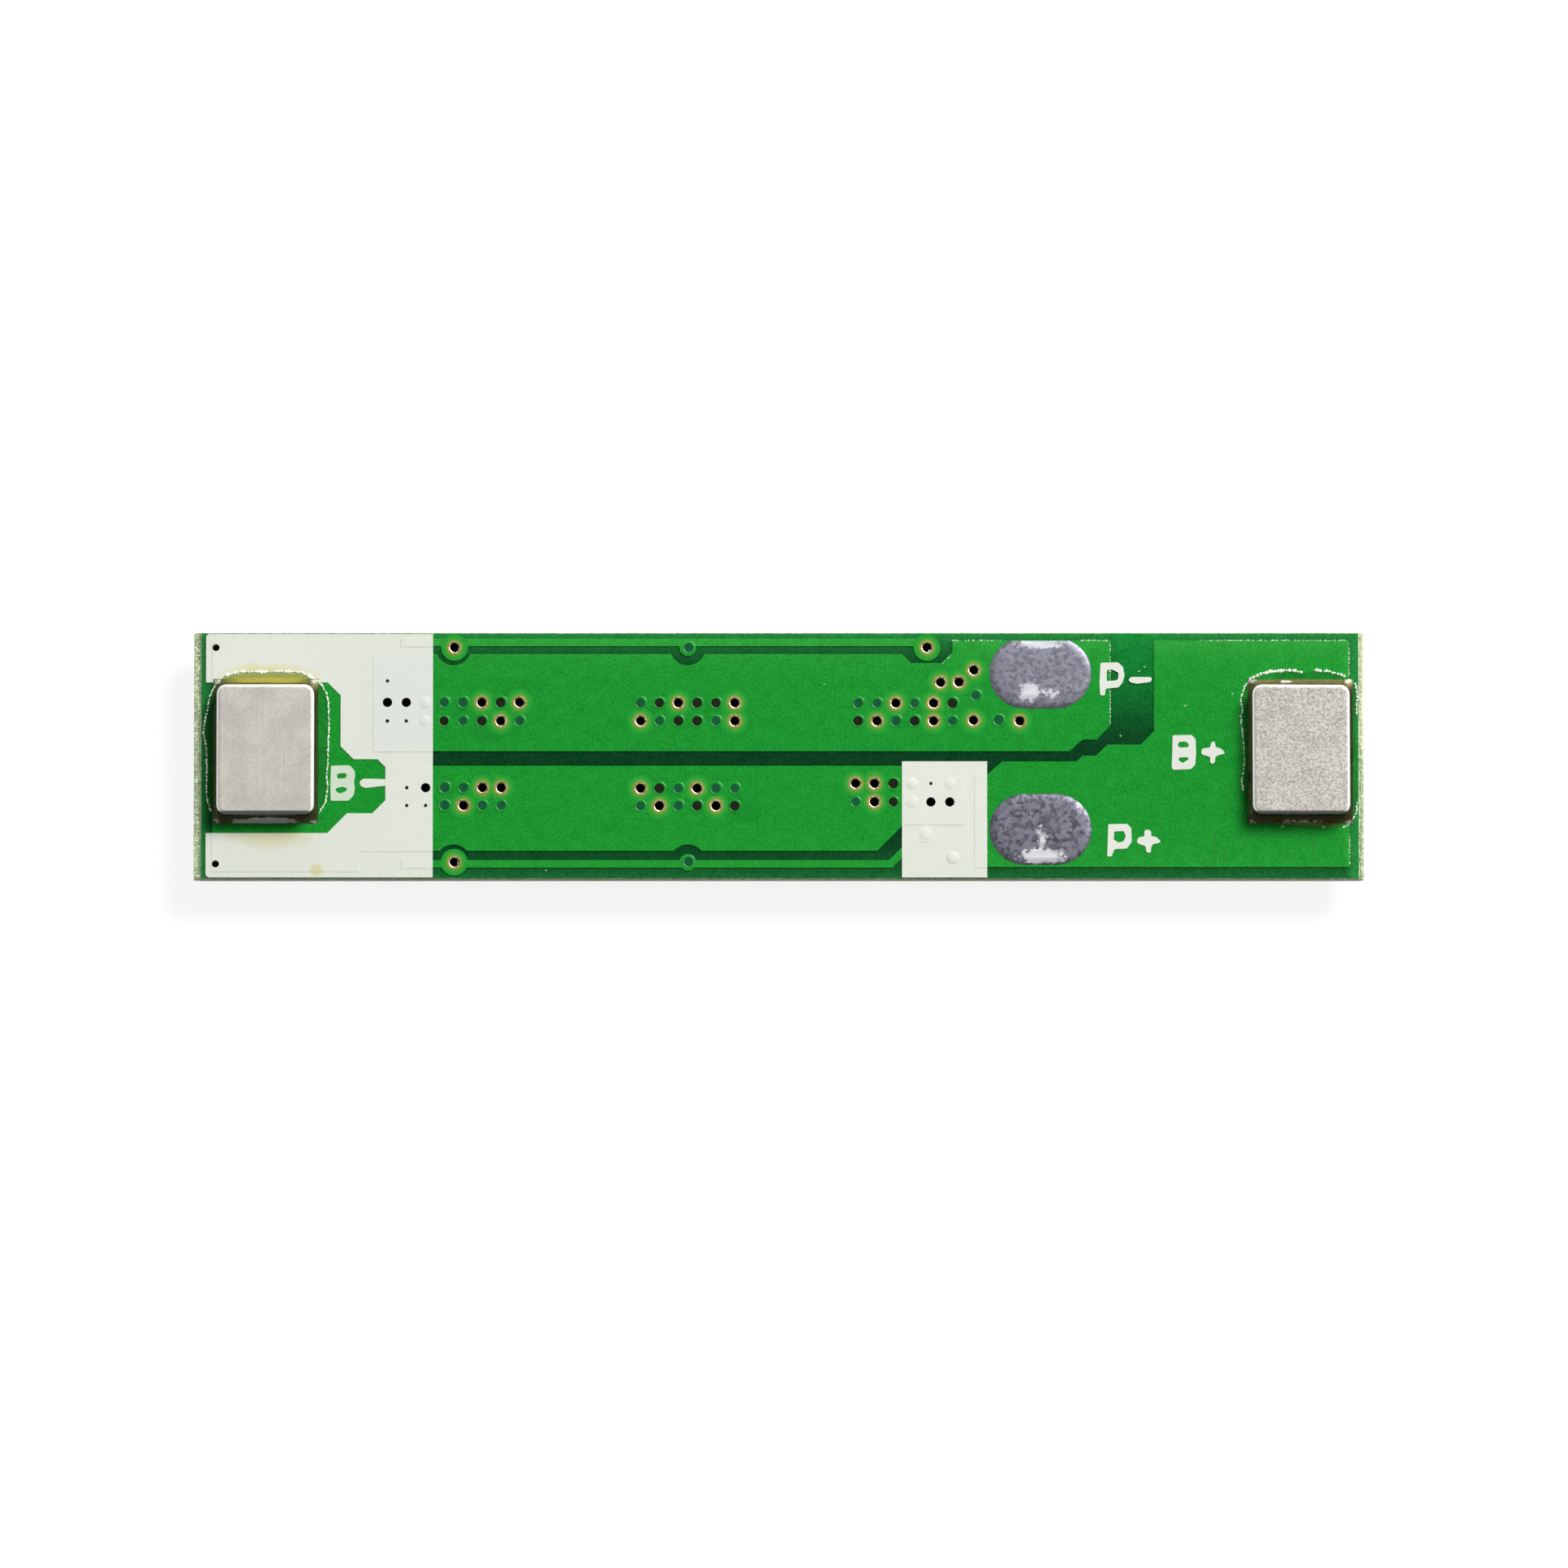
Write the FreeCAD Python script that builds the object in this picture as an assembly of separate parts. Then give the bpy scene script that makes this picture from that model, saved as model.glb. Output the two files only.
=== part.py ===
import FreeCAD, Part
import math
import os

from FreeCAD import Vector

# A protection board for a small battery. X runs along the board, Y across it, and the solder side with the
# nickel blocks faces up. The board lies on the tops of its three power packages, at z = 0.
# All sizes are in mm.

# Board and its coats
board_length = 36.0
board_width = 7.6
laminate_thickness = 0.8
score_depth = 0.25
left_score_flank = 0.24
right_score_flank = 0.16
mask_edge_margin = 0.02
copper_thickness = 0.035
mask_thickness = 0.025
mask_side_cover = 0.012
mask_land_gap = 0.05
print_thickness = 0.02

# Drilled vias
via_hole_radius = 0.15
small_round_sides = 10
via_opening_radius = 0.215
via_pitch = 0.58
corner_hole_radius = 0.115
corner_hole_end_gap = 0.68
corner_hole_side_gap = 0.46
gate_pad_radius = 0.25
gate_clearance = 0.56
last_gate_notch_left = 0.77
last_gate_notch_floor = 0.45
last_gate_notch_right = 0.8

# Pours on the solder side
pour_edge_gap = 0.25
left_pour_end_gap = 0.59
right_pour_end_gap = 0.46
b_minus_wide_length = 4.47
b_minus_top = -0.325
b_minus_shoulder_top = -0.09
b_minus_shoulder_length = 0.89
b_minus_side_gap = 0.875
b_minus_end_gap = 12.29
b_minus_end_cut = 0.82
p_minus_end_gap = 5.56
p_minus_side_gap = 0.67
p_minus_bottom = 0.15
p_minus_notch_gap = 0.95
pour_gap = 0.18
b_plus_low = -0.19
b_plus_side_gap = 0.375
pour_chamfer = 0.42
pad_to_pour_end = 2.14
output_gap = 1.365

# Gate tracks on the solder side
gate_track_width = 0.21
gate_track_end_gap = 6.4
charge_track_side_gap = 0.3
charge_pad_side_gap = 0.46
discharge_track_side_gap = 0.46
discharge_pad_side_gap = 0.51
discharge_turn_end_gap = 14.56
discharge_end_gap = 13.49
discharge_end_side_gap = 1.39
last_charge_pad_offset = 0.71
supply_via_end_gap = 12.64
supply_via_side_gap = 0.66

# Nickel blocks and their solder
block_length = 4.0
block_width = 3.0
block_height = 0.8
block_corner_radius = 0.3
block_edge_break = 0.09
block_y = 0.13
left_block_end_gap = 2.22
right_block_end_gap = 1.95
block_pad_width = 3.22
block_pad_length = 4.44
solder_bed_thickness = 0.05
solder_fillet_height = 0.14
solder_fillet_reach = 0.1

# Tinned output pads
output_pad_end_gap = 9.95
output_pad_length = 3.15
output_pad_width = 2.2
p_minus_pad_side_gap = 1.25
p_plus_pad_side_gap = 1.525
tin_height = 0.07
tin_rim_break = 0.04

# White printed fields
print_end_gap = 0.375
print_corner_radius = 0.12
left_print_reach = 7.36
island_top = 2.26
island_bottom = -2.39
island_reach = 4.52
island_step_reach = 5.9
island_step_top = -0.11
island_step_bottom = -1.78
island_chamfer = 0.4
print_clearance = 0.02
right_print_end_gap = 14.21
right_print_width = 2.62
right_print_top = -0.175

# Eight-lead power packages
first_mosfet_end_gap = 7.99
middle_mosfet_offset = 0.28
last_mosfet_end_gap = 14.15
mosfet_side_gap = 0.6
mosfet_lead_reach = 1.0
mosfet_body_length = 3.0
mosfet_body_height = 1.0
mosfet_standoff = 0.08
mosfet_lead_pitch = 0.65
mosfet_lead_width = 0.24
mosfet_lead_thickness = 0.13
mosfet_foot_length = 0.6
leads_per_side = 4

# Six-lead protection circuit
ic_end_gap = 8.1
ic_y = -0.6
ic_body_width = 1.6
ic_body_length = 2.9
ic_body_height = 0.95
ic_standoff = 0.05
ic_lead_span = 2.8
ic_lead_pitch = 0.95
ic_lead_width = 0.4
ic_lead_thickness = 0.15
ic_foot_length = 0.4
ic_leads_per_side = 3

# Package details
mould_draft = 0.08
pin_one_radius = 0.22
pin_one_depth = 0.05
pin_one_inset = 0.6
solder_film = 0.03
toe_height = 0.1
land_heel = 0.1
land_side = 0.04

# Chip parts, all of one footprint
chip_length = 1.6
chip_width = 0.8
chip_cap_length = 0.3
chip_cap_wall = 0.03
resistor_height = 0.45
capacitor_height = 0.8
chip_land_length = 0.8
chip_land_reach = 0.35
chip_joint_height = 0.25
sense_resistor_end_gap = 10.1
sense_resistor_y = 0.0
filter_capacitor_end_gap = 8.55
chip_row_y = 1.95
supply_resistor_end_gap = 5.9

# Pours and tracks on the component side
front_pour_inner = 0.35
front_pour_inset = 1.2
front_b_minus_end_gap = 11.4
front_p_minus_end_gap = 10.4
front_track_width = 0.2
ground_track_end_gap = 11.6
discharge_run_gap = 0.25

# Levels and edges that follow
left_end = -board_length / 2
right_end = board_length / 2
side = board_width / 2
land_z = mosfet_standoff + mosfet_body_height + solder_film
front_z = land_z + copper_thickness
back_z = front_z + laminate_thickness
copper_top = back_z + copper_thickness
plateau_top = copper_top + mask_thickness
mask_left = left_end + left_score_flank
mask_right = right_end - right_score_flank
mask_side = side - mask_edge_margin
print_side = mask_side - mask_edge_margin
pour_edge = side - pour_edge_gap

# Places along the board that follow from its ends
left_block_x = left_end + left_block_end_gap
right_block_x = right_end - right_block_end_gap
output_pad_x = right_end - output_pad_end_gap
first_mosfet_x = left_end + first_mosfet_end_gap
last_mosfet_x = right_end - last_mosfet_end_gap
middle_mosfet_x = (first_mosfet_x + last_mosfet_x) / 2 + middle_mosfet_offset
mosfet_x = [first_mosfet_x, middle_mosfet_x, last_mosfet_x]
charge_pad_x = [first_mosfet_x, middle_mosfet_x, last_mosfet_x + last_charge_pad_offset]
discharge_pad_x = [first_mosfet_x, middle_mosfet_x]
gate_track_start = left_end + gate_track_end_gap
discharge_turn_x = right_end - discharge_turn_end_gap
discharge_end_x = right_end - discharge_end_gap
p_minus_start = left_end + p_minus_end_gap
b_minus_end = right_end - b_minus_end_gap
ic_x = right_end - ic_end_gap
sense_resistor_x = right_end - sense_resistor_end_gap
filter_capacitor_x = right_end - filter_capacitor_end_gap
supply_resistor_x = right_end - supply_resistor_end_gap

# Places across the board that follow from its long edges
charge_track_y = side - charge_track_side_gap
charge_pads_y = side - charge_pad_side_gap
discharge_track_y = -side + discharge_track_side_gap
discharge_pads_y = -side + discharge_pad_side_gap
discharge_end_y = -side + discharge_end_side_gap
p_minus_top = side - p_minus_side_gap
p_minus_notch_floor = side - p_minus_notch_gap
b_minus_bottom = -side + b_minus_side_gap
p_minus_pad_y = side - p_minus_pad_side_gap
p_plus_pad_y = -side + p_plus_pad_side_gap
mosfet_lead_span = board_width - 2 * mosfet_side_gap
mosfet_body_width = mosfet_lead_span - 2 * mosfet_lead_reach
front_pour_outer = mosfet_lead_span / 2 - front_pour_inset

# Via rows, three groups of four, one at each package: first hole from the package's middle, row height and
# one letter a hole, o for open and c for closed over by the mask
via_rows = [
    (first_mosfet_x, -2.03, 1.645, "oocccoco"),
    (first_mosfet_x, -2.03, 1.07, "ccccccoc"),
    (first_mosfet_x, -1.43, -0.99, "coccoo"),
    (first_mosfet_x, -1.43, -1.54, "cccocc"),
    (middle_mosfet_x, -1.455, 1.63, "ccocco"),
    (middle_mosfet_x, -1.455, 1.07, "occcco"),
    (middle_mosfet_x, -1.455, -1.01, "occocc"),
    (middle_mosfet_x, -1.455, -1.55, "coccoc"),
    (last_mosfet_x, -1.41, 1.62, "ccococ"),
    (last_mosfet_x, -1.41, 1.07, "coccoc"),
    (last_mosfet_x, -1.49, -0.86, "oocccc"),
    (last_mosfet_x, -1.49, -1.43, "coccoo"),
]

# Single open vias near the negative output pad: gaps from the board's right end and upper edge
low_single_vias = [(12.01, 2.71), (10.59, 2.73)]
high_single_vias = [(13.025, 1.54), (12.46, 1.53), (12.0, 1.16)]


def flat(points):
    """A face at z = 0 inside a closed polygon."""
    corners = [Vector(x, y, 0) for x, y in points]
    return Part.Face(Part.makePolygon(corners + corners[:1]))


def rectangle(x0, x1, y0, y1):
    return flat([(x0, y0), (x1, y0), (x1, y1), (x0, y1)])


def disc(x, y, radius):
    circle = Part.makeCircle(radius, Vector(x, y, 0))
    return Part.Face(Part.Wire(circle))


def small_round(x, y, radius):
    """A round too small to need more than a few flats: a via, its pad or a mould dimple."""
    turns = [2 * math.pi * place / small_round_sides for place in range(small_round_sides)]
    return flat([(x + radius * math.cos(turn), y + radius * math.sin(turn)) for turn in turns])


def obround(x, y, length, width):
    """An oval pad: two half circles joined by straight sides."""
    radius = width / 2
    reach = length / 2 - radius
    right = Part.Arc(
        Vector(x + reach, y - radius, 0), Vector(x + reach + radius, y, 0), Vector(x + reach, y + radius, 0)
    )
    left = Part.Arc(
        Vector(x - reach, y + radius, 0), Vector(x - reach - radius, y, 0), Vector(x - reach, y - radius, 0)
    )
    top = Part.LineSegment(Vector(x + reach, y + radius, 0), Vector(x - reach, y + radius, 0))
    bottom = Part.LineSegment(Vector(x - reach, y - radius, 0), Vector(x + reach, y - radius, 0))
    return Part.Face(Part.Wire([bottom.toShape(), right.toShape(), top.toShape(), left.toShape()]))


def prism(face, z0, z1):
    """The face's outline as a solid between two levels."""
    base = face.copy()
    base.translate(Vector(0, 0, z0))
    return base.extrude(Vector(0, 0, z1 - z0))


def section_prism(points, width):
    """A section drawn across the board, given a width along X about the middle."""
    corners = [Vector(-width / 2, y, z) for y, z in points]
    profile = Part.Face(Part.makePolygon(corners + corners[:1]))
    return profile.extrude(Vector(width, 0, 0))


def merged(shapes):
    """One shape from several that meet."""
    if len(shapes) == 1:
        return shapes[0]
    return shapes[0].multiFuse(shapes[1:]).removeSplitter()


def grown(face, cover=mask_side_cover):
    """The face's outline moved out by the cover on a copper edge."""
    return face.makeOffset2D(cover, 1)


def export(name, shape):
    """Write one sub-part, as one solid or as a group of separate ones."""
    solids = shape.Solids
    result = solids[0] if len(solids) == 1 else Part.makeCompound(solids)
    result.exportStep("parts/" + name + ".step")


def single_vias(gaps):
    """Centres of single vias from their gaps to the right end and the upper edge."""
    return [(right_end - end_gap, side - side_gap) for end_gap, side_gap in gaps]


def open_vias():
    """Centres of the holes that the mask leaves open."""
    holes = single_vias(low_single_vias) + single_vias(high_single_vias)
    for middle, first, height, letters in via_rows:
        for place, letter in enumerate(letters):
            if letter == "o":
                holes.append((middle + first + place * via_pitch, height))
    holes += [(charge_pad_x[0], charge_pads_y), (charge_pad_x[-1], charge_pads_y)]
    holes.append((discharge_pad_x[0], discharge_pads_y))
    return holes


def drills(z0, z1):
    """Round cutters for the open vias and the two small corner holes."""
    outlines = [small_round(x, y, via_hole_radius) for x, y in open_vias()]
    corner_x = left_end + corner_hole_end_gap
    corner_y = side - corner_hole_side_gap
    outlines += [small_round(corner_x, y, corner_hole_radius) for y in (corner_y, -corner_y)]
    return [prism(outline, z0, z1) for outline in outlines]


def block_pad(x):
    half_width = block_pad_width / 2
    half_length = block_pad_length / 2
    return rectangle(x - half_width, x + half_width, block_y - half_length, block_y + half_length)


def laminate():
    """The glass-fibre core: its ends keep half of the V-shaped score that it was snapped along."""
    section = [
        (left_end + left_score_flank, back_z),
        (left_end, back_z - score_depth),
        (left_end, front_z + score_depth),
        (left_end + left_score_flank, front_z),
        (right_end - right_score_flank, front_z),
        (right_end, front_z + score_depth),
        (right_end, back_z - score_depth),
        (right_end - right_score_flank, back_z),
    ]
    corners = [Vector(x, -side, z) for x, z in section]
    profile = Part.Face(Part.makePolygon(corners + corners[:1]))
    core = profile.extrude(Vector(0, board_width, 0))
    return core.cut(drills(front_z, back_z))


def b_minus_face():
    """The pour from the left block to the lower vias, round the discharge gate pads."""
    start = left_end + left_pour_end_gap
    wide_end = start + b_minus_wide_length
    end_low = b_minus_bottom + b_minus_end_cut
    pour = flat([
        (start, pour_edge),
        (wide_end, pour_edge),
        (wide_end, b_minus_shoulder_top),
        (wide_end + b_minus_shoulder_length, b_minus_shoulder_top),
        (wide_end + b_minus_shoulder_length, b_minus_top),
        (b_minus_end, b_minus_top),
        (b_minus_end, end_low),
        (discharge_turn_x - pour_chamfer + b_minus_end_cut, end_low),
        (discharge_turn_x - pour_chamfer, b_minus_bottom),
        (wide_end, b_minus_bottom),
        (wide_end, -pour_edge),
        (start, -pour_edge),
    ])
    return pour.cut([disc(x, discharge_pads_y, gate_clearance) for x in discharge_pad_x]).Faces[0]


def p_minus_face():
    """The pour from the upper vias to the negative output pad, round the charge gate pads."""
    end = output_pad_x + pad_to_pour_end
    corner = p_minus_bottom + 2 * pour_gap
    notch_left = charge_pad_x[-1] - last_gate_notch_left
    notch_turn = charge_pad_x[-1] + last_gate_notch_floor
    notch_right = charge_pad_x[-1] + last_gate_notch_right
    pour = flat([
        (p_minus_start, p_minus_top),
        (notch_left, p_minus_top),
        (notch_left + p_minus_top - p_minus_notch_floor, p_minus_notch_floor),
        (notch_turn, p_minus_notch_floor),
        (notch_right, p_minus_notch_floor + notch_right - notch_turn),
        (notch_right, pour_edge),
        (end, pour_edge),
        (end, corner + pour_chamfer),
        (end - pour_chamfer, corner),
        (end - 2 * pour_chamfer, corner),
        (end - 3 * pour_chamfer, p_minus_bottom),
        (p_minus_start, p_minus_bottom),
    ])
    return pour.cut([disc(x, charge_pads_y, gate_clearance) for x in charge_pad_x[:-1]]).Faces[0]


def b_plus_face():
    """The pour from the positive output pad to the right block, with that block's pad."""
    inner = output_pad_x + pad_to_pour_end
    start = inner + output_gap
    end = right_end - right_pour_end_gap
    bottom = -side + b_plus_side_gap
    shoulder = p_minus_bottom + pour_gap
    neck = output_pad_x - output_pad_length / 2
    pour = flat([
        (start, pour_edge),
        (end, pour_edge),
        (end, bottom),
        (neck - pour_chamfer, bottom),
        (neck - pour_chamfer, b_plus_low - pour_chamfer),
        (neck, b_plus_low),
        (inner - 2 * pour_chamfer - pour_gap, b_plus_low),
        (inner - 2 * pour_chamfer, b_plus_low + pour_gap),
        (inner - pour_chamfer, b_plus_low + pour_gap),
        (inner - pour_chamfer + shoulder - b_plus_low - pour_gap, shoulder),
        (start - pour_chamfer, shoulder),
        (start, shoulder + pour_chamfer),
    ])
    return pour.fuse(block_pad(right_block_x)).removeSplitter().Faces[0]


def charge_track_face():
    """The track along the upper edge, with a round pad at each gate via and a web to the last one."""
    half = gate_track_width / 2
    last = charge_pad_x[-1]
    web = gate_pad_radius * math.sin(math.radians(45))
    drop = charge_track_y - half - charge_pads_y + web
    track = flat([
        (gate_track_start, charge_track_y - half),
        (last - web - drop, charge_track_y - half),
        (last - web, charge_pads_y - web),
        (last, charge_pads_y),
        (last, charge_track_y + half),
        (gate_track_start, charge_track_y + half),
    ])
    return merged([track] + [small_round(x, charge_pads_y, gate_pad_radius) for x in charge_pad_x]).Faces[0]


def discharge_track_face():
    """The track along the lower edge, turned up at 45 degrees to the last gate via."""
    half = gate_track_width / 2
    slant = half * math.tan(math.radians(22.5))
    turned = discharge_turn_x + discharge_end_y - discharge_track_y
    track = flat([
        (gate_track_start, discharge_track_y - half),
        (discharge_turn_x + slant, discharge_track_y - half),
        (turned + slant, discharge_end_y - half),
        (discharge_end_x, discharge_end_y - half),
        (discharge_end_x, discharge_end_y + half),
        (turned - slant, discharge_end_y + half),
        (discharge_turn_x - slant, discharge_track_y + half),
        (gate_track_start, discharge_track_y + half),
    ])
    pads = [small_round(x, discharge_pads_y, gate_pad_radius) for x in discharge_pad_x]
    pads.append(small_round(discharge_end_x, discharge_end_y, gate_pad_radius))
    return merged([track] + pads).Faces[0]


def p_minus_pad():
    """The oval negative output pad, cut straight where its pour ends at the board's edge."""
    oval = obround(output_pad_x, p_minus_pad_y, output_pad_length, output_pad_width)
    return oval.common(rectangle(left_end, right_end, -side, pour_edge)).Faces[0]


def p_plus_pad():
    return obround(output_pad_x, p_plus_pad_y, output_pad_length, output_pad_width)


def tinned_pad(face):
    """Solder left on a pad, its rim broken where it thins out."""
    tin = prism(face, copper_top, copper_top + tin_height)
    rim = [edge for edge in tin.Edges if edge.BoundBox.ZMin > copper_top + tin_height / 2]
    return tin.makeChamfer(tin_rim_break, rim)


def nickel_block(x):
    """A weld block: rounded corners and a broken edge round its top and bottom."""
    corner = Vector(x - block_width / 2, block_y - block_length / 2, copper_top + solder_bed_thickness)
    block = Part.makeBox(block_width, block_length, block_height, corner)
    upright = [edge for edge in block.Edges if edge.BoundBox.ZLength > block_height / 2]
    block = block.makeFillet(block_corner_radius, upright)
    level = [edge for edge in block.Edges if edge.BoundBox.ZLength < block_height / 2]
    return block.makeChamfer(block_edge_break, level)


def solder_bed(x, block):
    """Solder under a block, drawn up round its foot as a fillet."""
    foot = copper_top + solder_bed_thickness
    bed = prism(block_pad(x), copper_top, foot + solder_fillet_height)
    top = [edge for edge in bed.Edges if edge.BoundBox.ZMin > foot]
    return bed.makeChamfer(solder_fillet_reach, top).cut(block)


def mask(faces, copper, openings, face_z, up):
    """A green coat: flat on the core, raised over the copper, open at the pads. It grows up or down."""
    low = face_z + up * mask_thickness
    high = face_z + up * (copper_thickness + mask_thickness)
    coat = rectangle(mask_left, mask_right, -mask_side, mask_side)
    layers = [prism(coat, face_z, low)]
    layers += [prism(grown(face), face_z, high) for face in faces]
    tools = list(copper)
    tools += [prism(face, face_z, high + up * mask_thickness) for face in openings]
    return merged(layers).cut(tools)


def printed(field, faces, mask_solid, copper):
    """White print that follows the mask up and down over the copper's edges."""
    layers = [prism(field, back_z, back_z + mask_thickness + print_thickness)]
    high = back_z + copper_thickness + mask_thickness + print_thickness
    for face in faces:
        over = grown(face, mask_side_cover + print_thickness).common(field)
        layers += [prism(piece, back_z, high) for piece in over.Faces]
    return merged(layers).cut([mask_solid] + copper)


def left_print_face():
    """The left field, less the green island round the block and its letters."""
    start = left_end + print_end_gap
    island_right = left_end + island_reach
    island_step_right = left_end + island_step_reach
    field = prism(rectangle(start, left_end + left_print_reach, -print_side, print_side), 0, 1)
    upright = [line for line in field.Edges if line.BoundBox.ZLength > 0.5]
    corners = [line for line in upright if line.BoundBox.XMax < start + print_corner_radius]
    rounded = field.makeFillet(print_corner_radius, corners)
    floor = [face for face in rounded.Faces if face.BoundBox.ZMax < 0.5][0]
    island = flat([
        (left_end, island_top),
        (island_right - island_chamfer, island_top),
        (island_right, island_top - island_chamfer),
        (island_right, island_step_top + island_chamfer),
        (island_right + island_chamfer, island_step_top),
        (island_step_right, island_step_top),
        (island_step_right, island_step_bottom + island_chamfer),
        (island_step_right - island_chamfer, island_step_bottom),
        (island_right + island_chamfer / 2, island_step_bottom),
        (island_right - island_chamfer, island_bottom),
        (left_end, island_bottom),
    ])
    return floor.cut([island, grown(block_pad(left_block_x), print_clearance)]).Faces[0]


def right_print_face():
    start = right_end - right_print_end_gap
    return rectangle(start, start + right_print_width, -print_side, right_print_top)


def hang(shape, x, y):
    """Turn a piece that stands on its lands at the origin over, so that it hangs under the board."""
    placed = shape.copy()
    placed.rotate(Vector(), Vector(1, 0, 0), 180)
    placed.translate(Vector(x, y, land_z))
    return placed


def moulded_body(length, width, standoff, height):
    """A moulded package: drafted up and down from its parting line, with a dimple at pin one."""
    base = solder_film + standoff
    sections = []
    for level, draft in ((0, mould_draft), (height / 2, 0), (height, mould_draft)):
        x = length / 2 - draft
        y = width / 2 - draft
        corners = [Vector(a, b, base + level) for a, b in ((-x, -y), (x, -y), (x, y), (-x, y))]
        sections.append(Part.makePolygon(corners + corners[:1]))
    body = Part.makeLoft(sections, True, True)
    dimple = small_round(-length / 2 + pin_one_inset, width / 2 - pin_one_inset, pin_one_radius)
    return body.cut(prism(dimple, base + height - pin_one_depth, base + height))


def gull_lead(body_width, span, foot, thickness, exit_height, lead_width):
    """One bent lead: out of the body, down, and along the land."""
    inner = body_width / 2 - mould_draft
    toe = span / 2
    heel = toe - foot
    knee = (body_width / 2 + heel) / 2
    section = [
        (inner, exit_height + thickness / 2),
        (knee + thickness / 2, exit_height + thickness / 2),
        (heel + thickness, solder_film + thickness),
        (toe, solder_film + thickness),
        (toe, solder_film),
        (heel, solder_film),
        (knee - thickness / 2, exit_height - thickness / 2),
        (inner, exit_height - thickness / 2),
    ]
    return section_prism(section, lead_width)


def toe_joint(span, foot, lead_width):
    """Solder under one foot, drawn up its toe."""
    toe = span / 2
    section = [
        (toe - foot - land_heel, 0),
        (toe + land_heel, 0),
        (toe, solder_film + toe_height),
        (toe, solder_film),
        (toe - foot, solder_film),
    ]
    return section_prism(section, lead_width + 2 * land_side)


def both_rows(piece, pitch, count):
    """Copies of one lead along both sides of a package."""
    pieces = []
    for place in range(count):
        x = (place - (count - 1) / 2) * pitch
        near = piece.copy()
        near.translate(Vector(x, 0, 0))
        far = near.copy()
        far.rotate(Vector(x, 0, 0), Vector(0, 0, 1), 180)
        pieces += [near, far]
    return Part.makeCompound(pieces)


def mosfet():
    """Body, leads and solder joints of one eight-lead package."""
    body = moulded_body(mosfet_body_length, mosfet_body_width, mosfet_standoff, mosfet_body_height)
    exit_height = solder_film + mosfet_standoff + mosfet_body_height / 2
    lead = gull_lead(
        mosfet_body_width,
        mosfet_lead_span,
        mosfet_foot_length,
        mosfet_lead_thickness,
        exit_height,
        mosfet_lead_width,
    )
    joint = toe_joint(mosfet_lead_span, mosfet_foot_length, mosfet_lead_width)
    leads = both_rows(lead.cut(body), mosfet_lead_pitch, leads_per_side)
    return body, leads, both_rows(joint, mosfet_lead_pitch, leads_per_side)


def protection_ic():
    """Body, leads and solder joints of the six-lead package."""
    body = moulded_body(ic_body_length, ic_body_width, ic_standoff, ic_body_height)
    exit_height = solder_film + ic_standoff + ic_body_height / 2
    lead = gull_lead(
        ic_body_width,
        ic_lead_span,
        ic_foot_length,
        ic_lead_thickness,
        exit_height,
        ic_lead_width,
    )
    joint = toe_joint(ic_lead_span, ic_foot_length, ic_lead_width)
    leads = both_rows(lead.cut(body), ic_lead_pitch, ic_leads_per_side)
    return body, leads, both_rows(joint, ic_lead_pitch, ic_leads_per_side)


def chip(height):
    """A chip part lying across the board: a ceramic body between two end caps that wrap it."""
    half = chip_length / 2
    wall = chip_cap_wall
    corner = Vector(-chip_width / 2 + wall, -half + wall, solder_film + wall)
    body = Part.makeBox(chip_width - 2 * wall, chip_length - 2 * wall, height - 2 * wall, corner)
    caps = []
    for y in (-half, half - chip_cap_length):
        cap = Part.makeBox(chip_width, chip_cap_length, height, Vector(-chip_width / 2, y, solder_film))
        caps.append(cap.cut(body))
    return body, Part.makeCompound(caps)


def chip_joint_pair():
    """Solder under both end caps, drawn up their ends."""
    half = chip_length / 2
    section = [
        (half - chip_cap_length, 0),
        (half + chip_land_reach, 0),
        (half, solder_film + chip_joint_height),
        (half, solder_film),
        (half - chip_cap_length, solder_film),
    ]
    near = section_prism(section, chip_width)
    far = near.copy()
    far.rotate(Vector(), Vector(0, 0, 1), 180)
    return Part.makeCompound([near, far])


def along(shape):
    """A quarter turn, for a chip part that lies along the board."""
    piece = shape.copy()
    piece.rotate(Vector(), Vector(0, 0, 1), 90)
    return piece


def package_lands(x, y, pitch, count, span, foot, lead_width):
    """Land outlines of a package: the lower row, then the upper row."""
    inner = span / 2 - foot - land_heel
    outer = span / 2 + land_heel
    half = lead_width / 2 + land_side
    rows = []
    for sign in (-1, 1):
        low, high = sorted((y + sign * inner, y + sign * outer))
        centres = [x + (place - (count - 1) / 2) * pitch for place in range(count)]
        rows.append([rectangle(centre - half, centre + half, low, high) for centre in centres])
    return rows


def chip_lands(x, y, lies_along):
    """The two lands of a chip part: left and right, or lower and upper."""
    inner = chip_length / 2 - chip_cap_length
    outer = chip_length / 2 + chip_land_reach
    half = chip_width / 2
    pair = []
    for sign in (-1, 1):
        low, high = sorted((sign * inner, sign * outer))
        if lies_along:
            pair.append(rectangle(x + low, x + high, y - half, y + half))
        else:
            pair.append(rectangle(x - half, x + half, y + low, y + high))
    return pair


def run(*points):
    """A track of square runs through the points."""
    half = front_track_width / 2
    pieces = []
    for (x0, y0), (x1, y1) in zip(points, points[1:]):
        left, right = min(x0, x1) - half, max(x0, x1) + half
        bottom, top = min(y0, y1) - half, max(y0, y1) + half
        pieces.append(rectangle(left, right, bottom, top))
    return pieces


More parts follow.
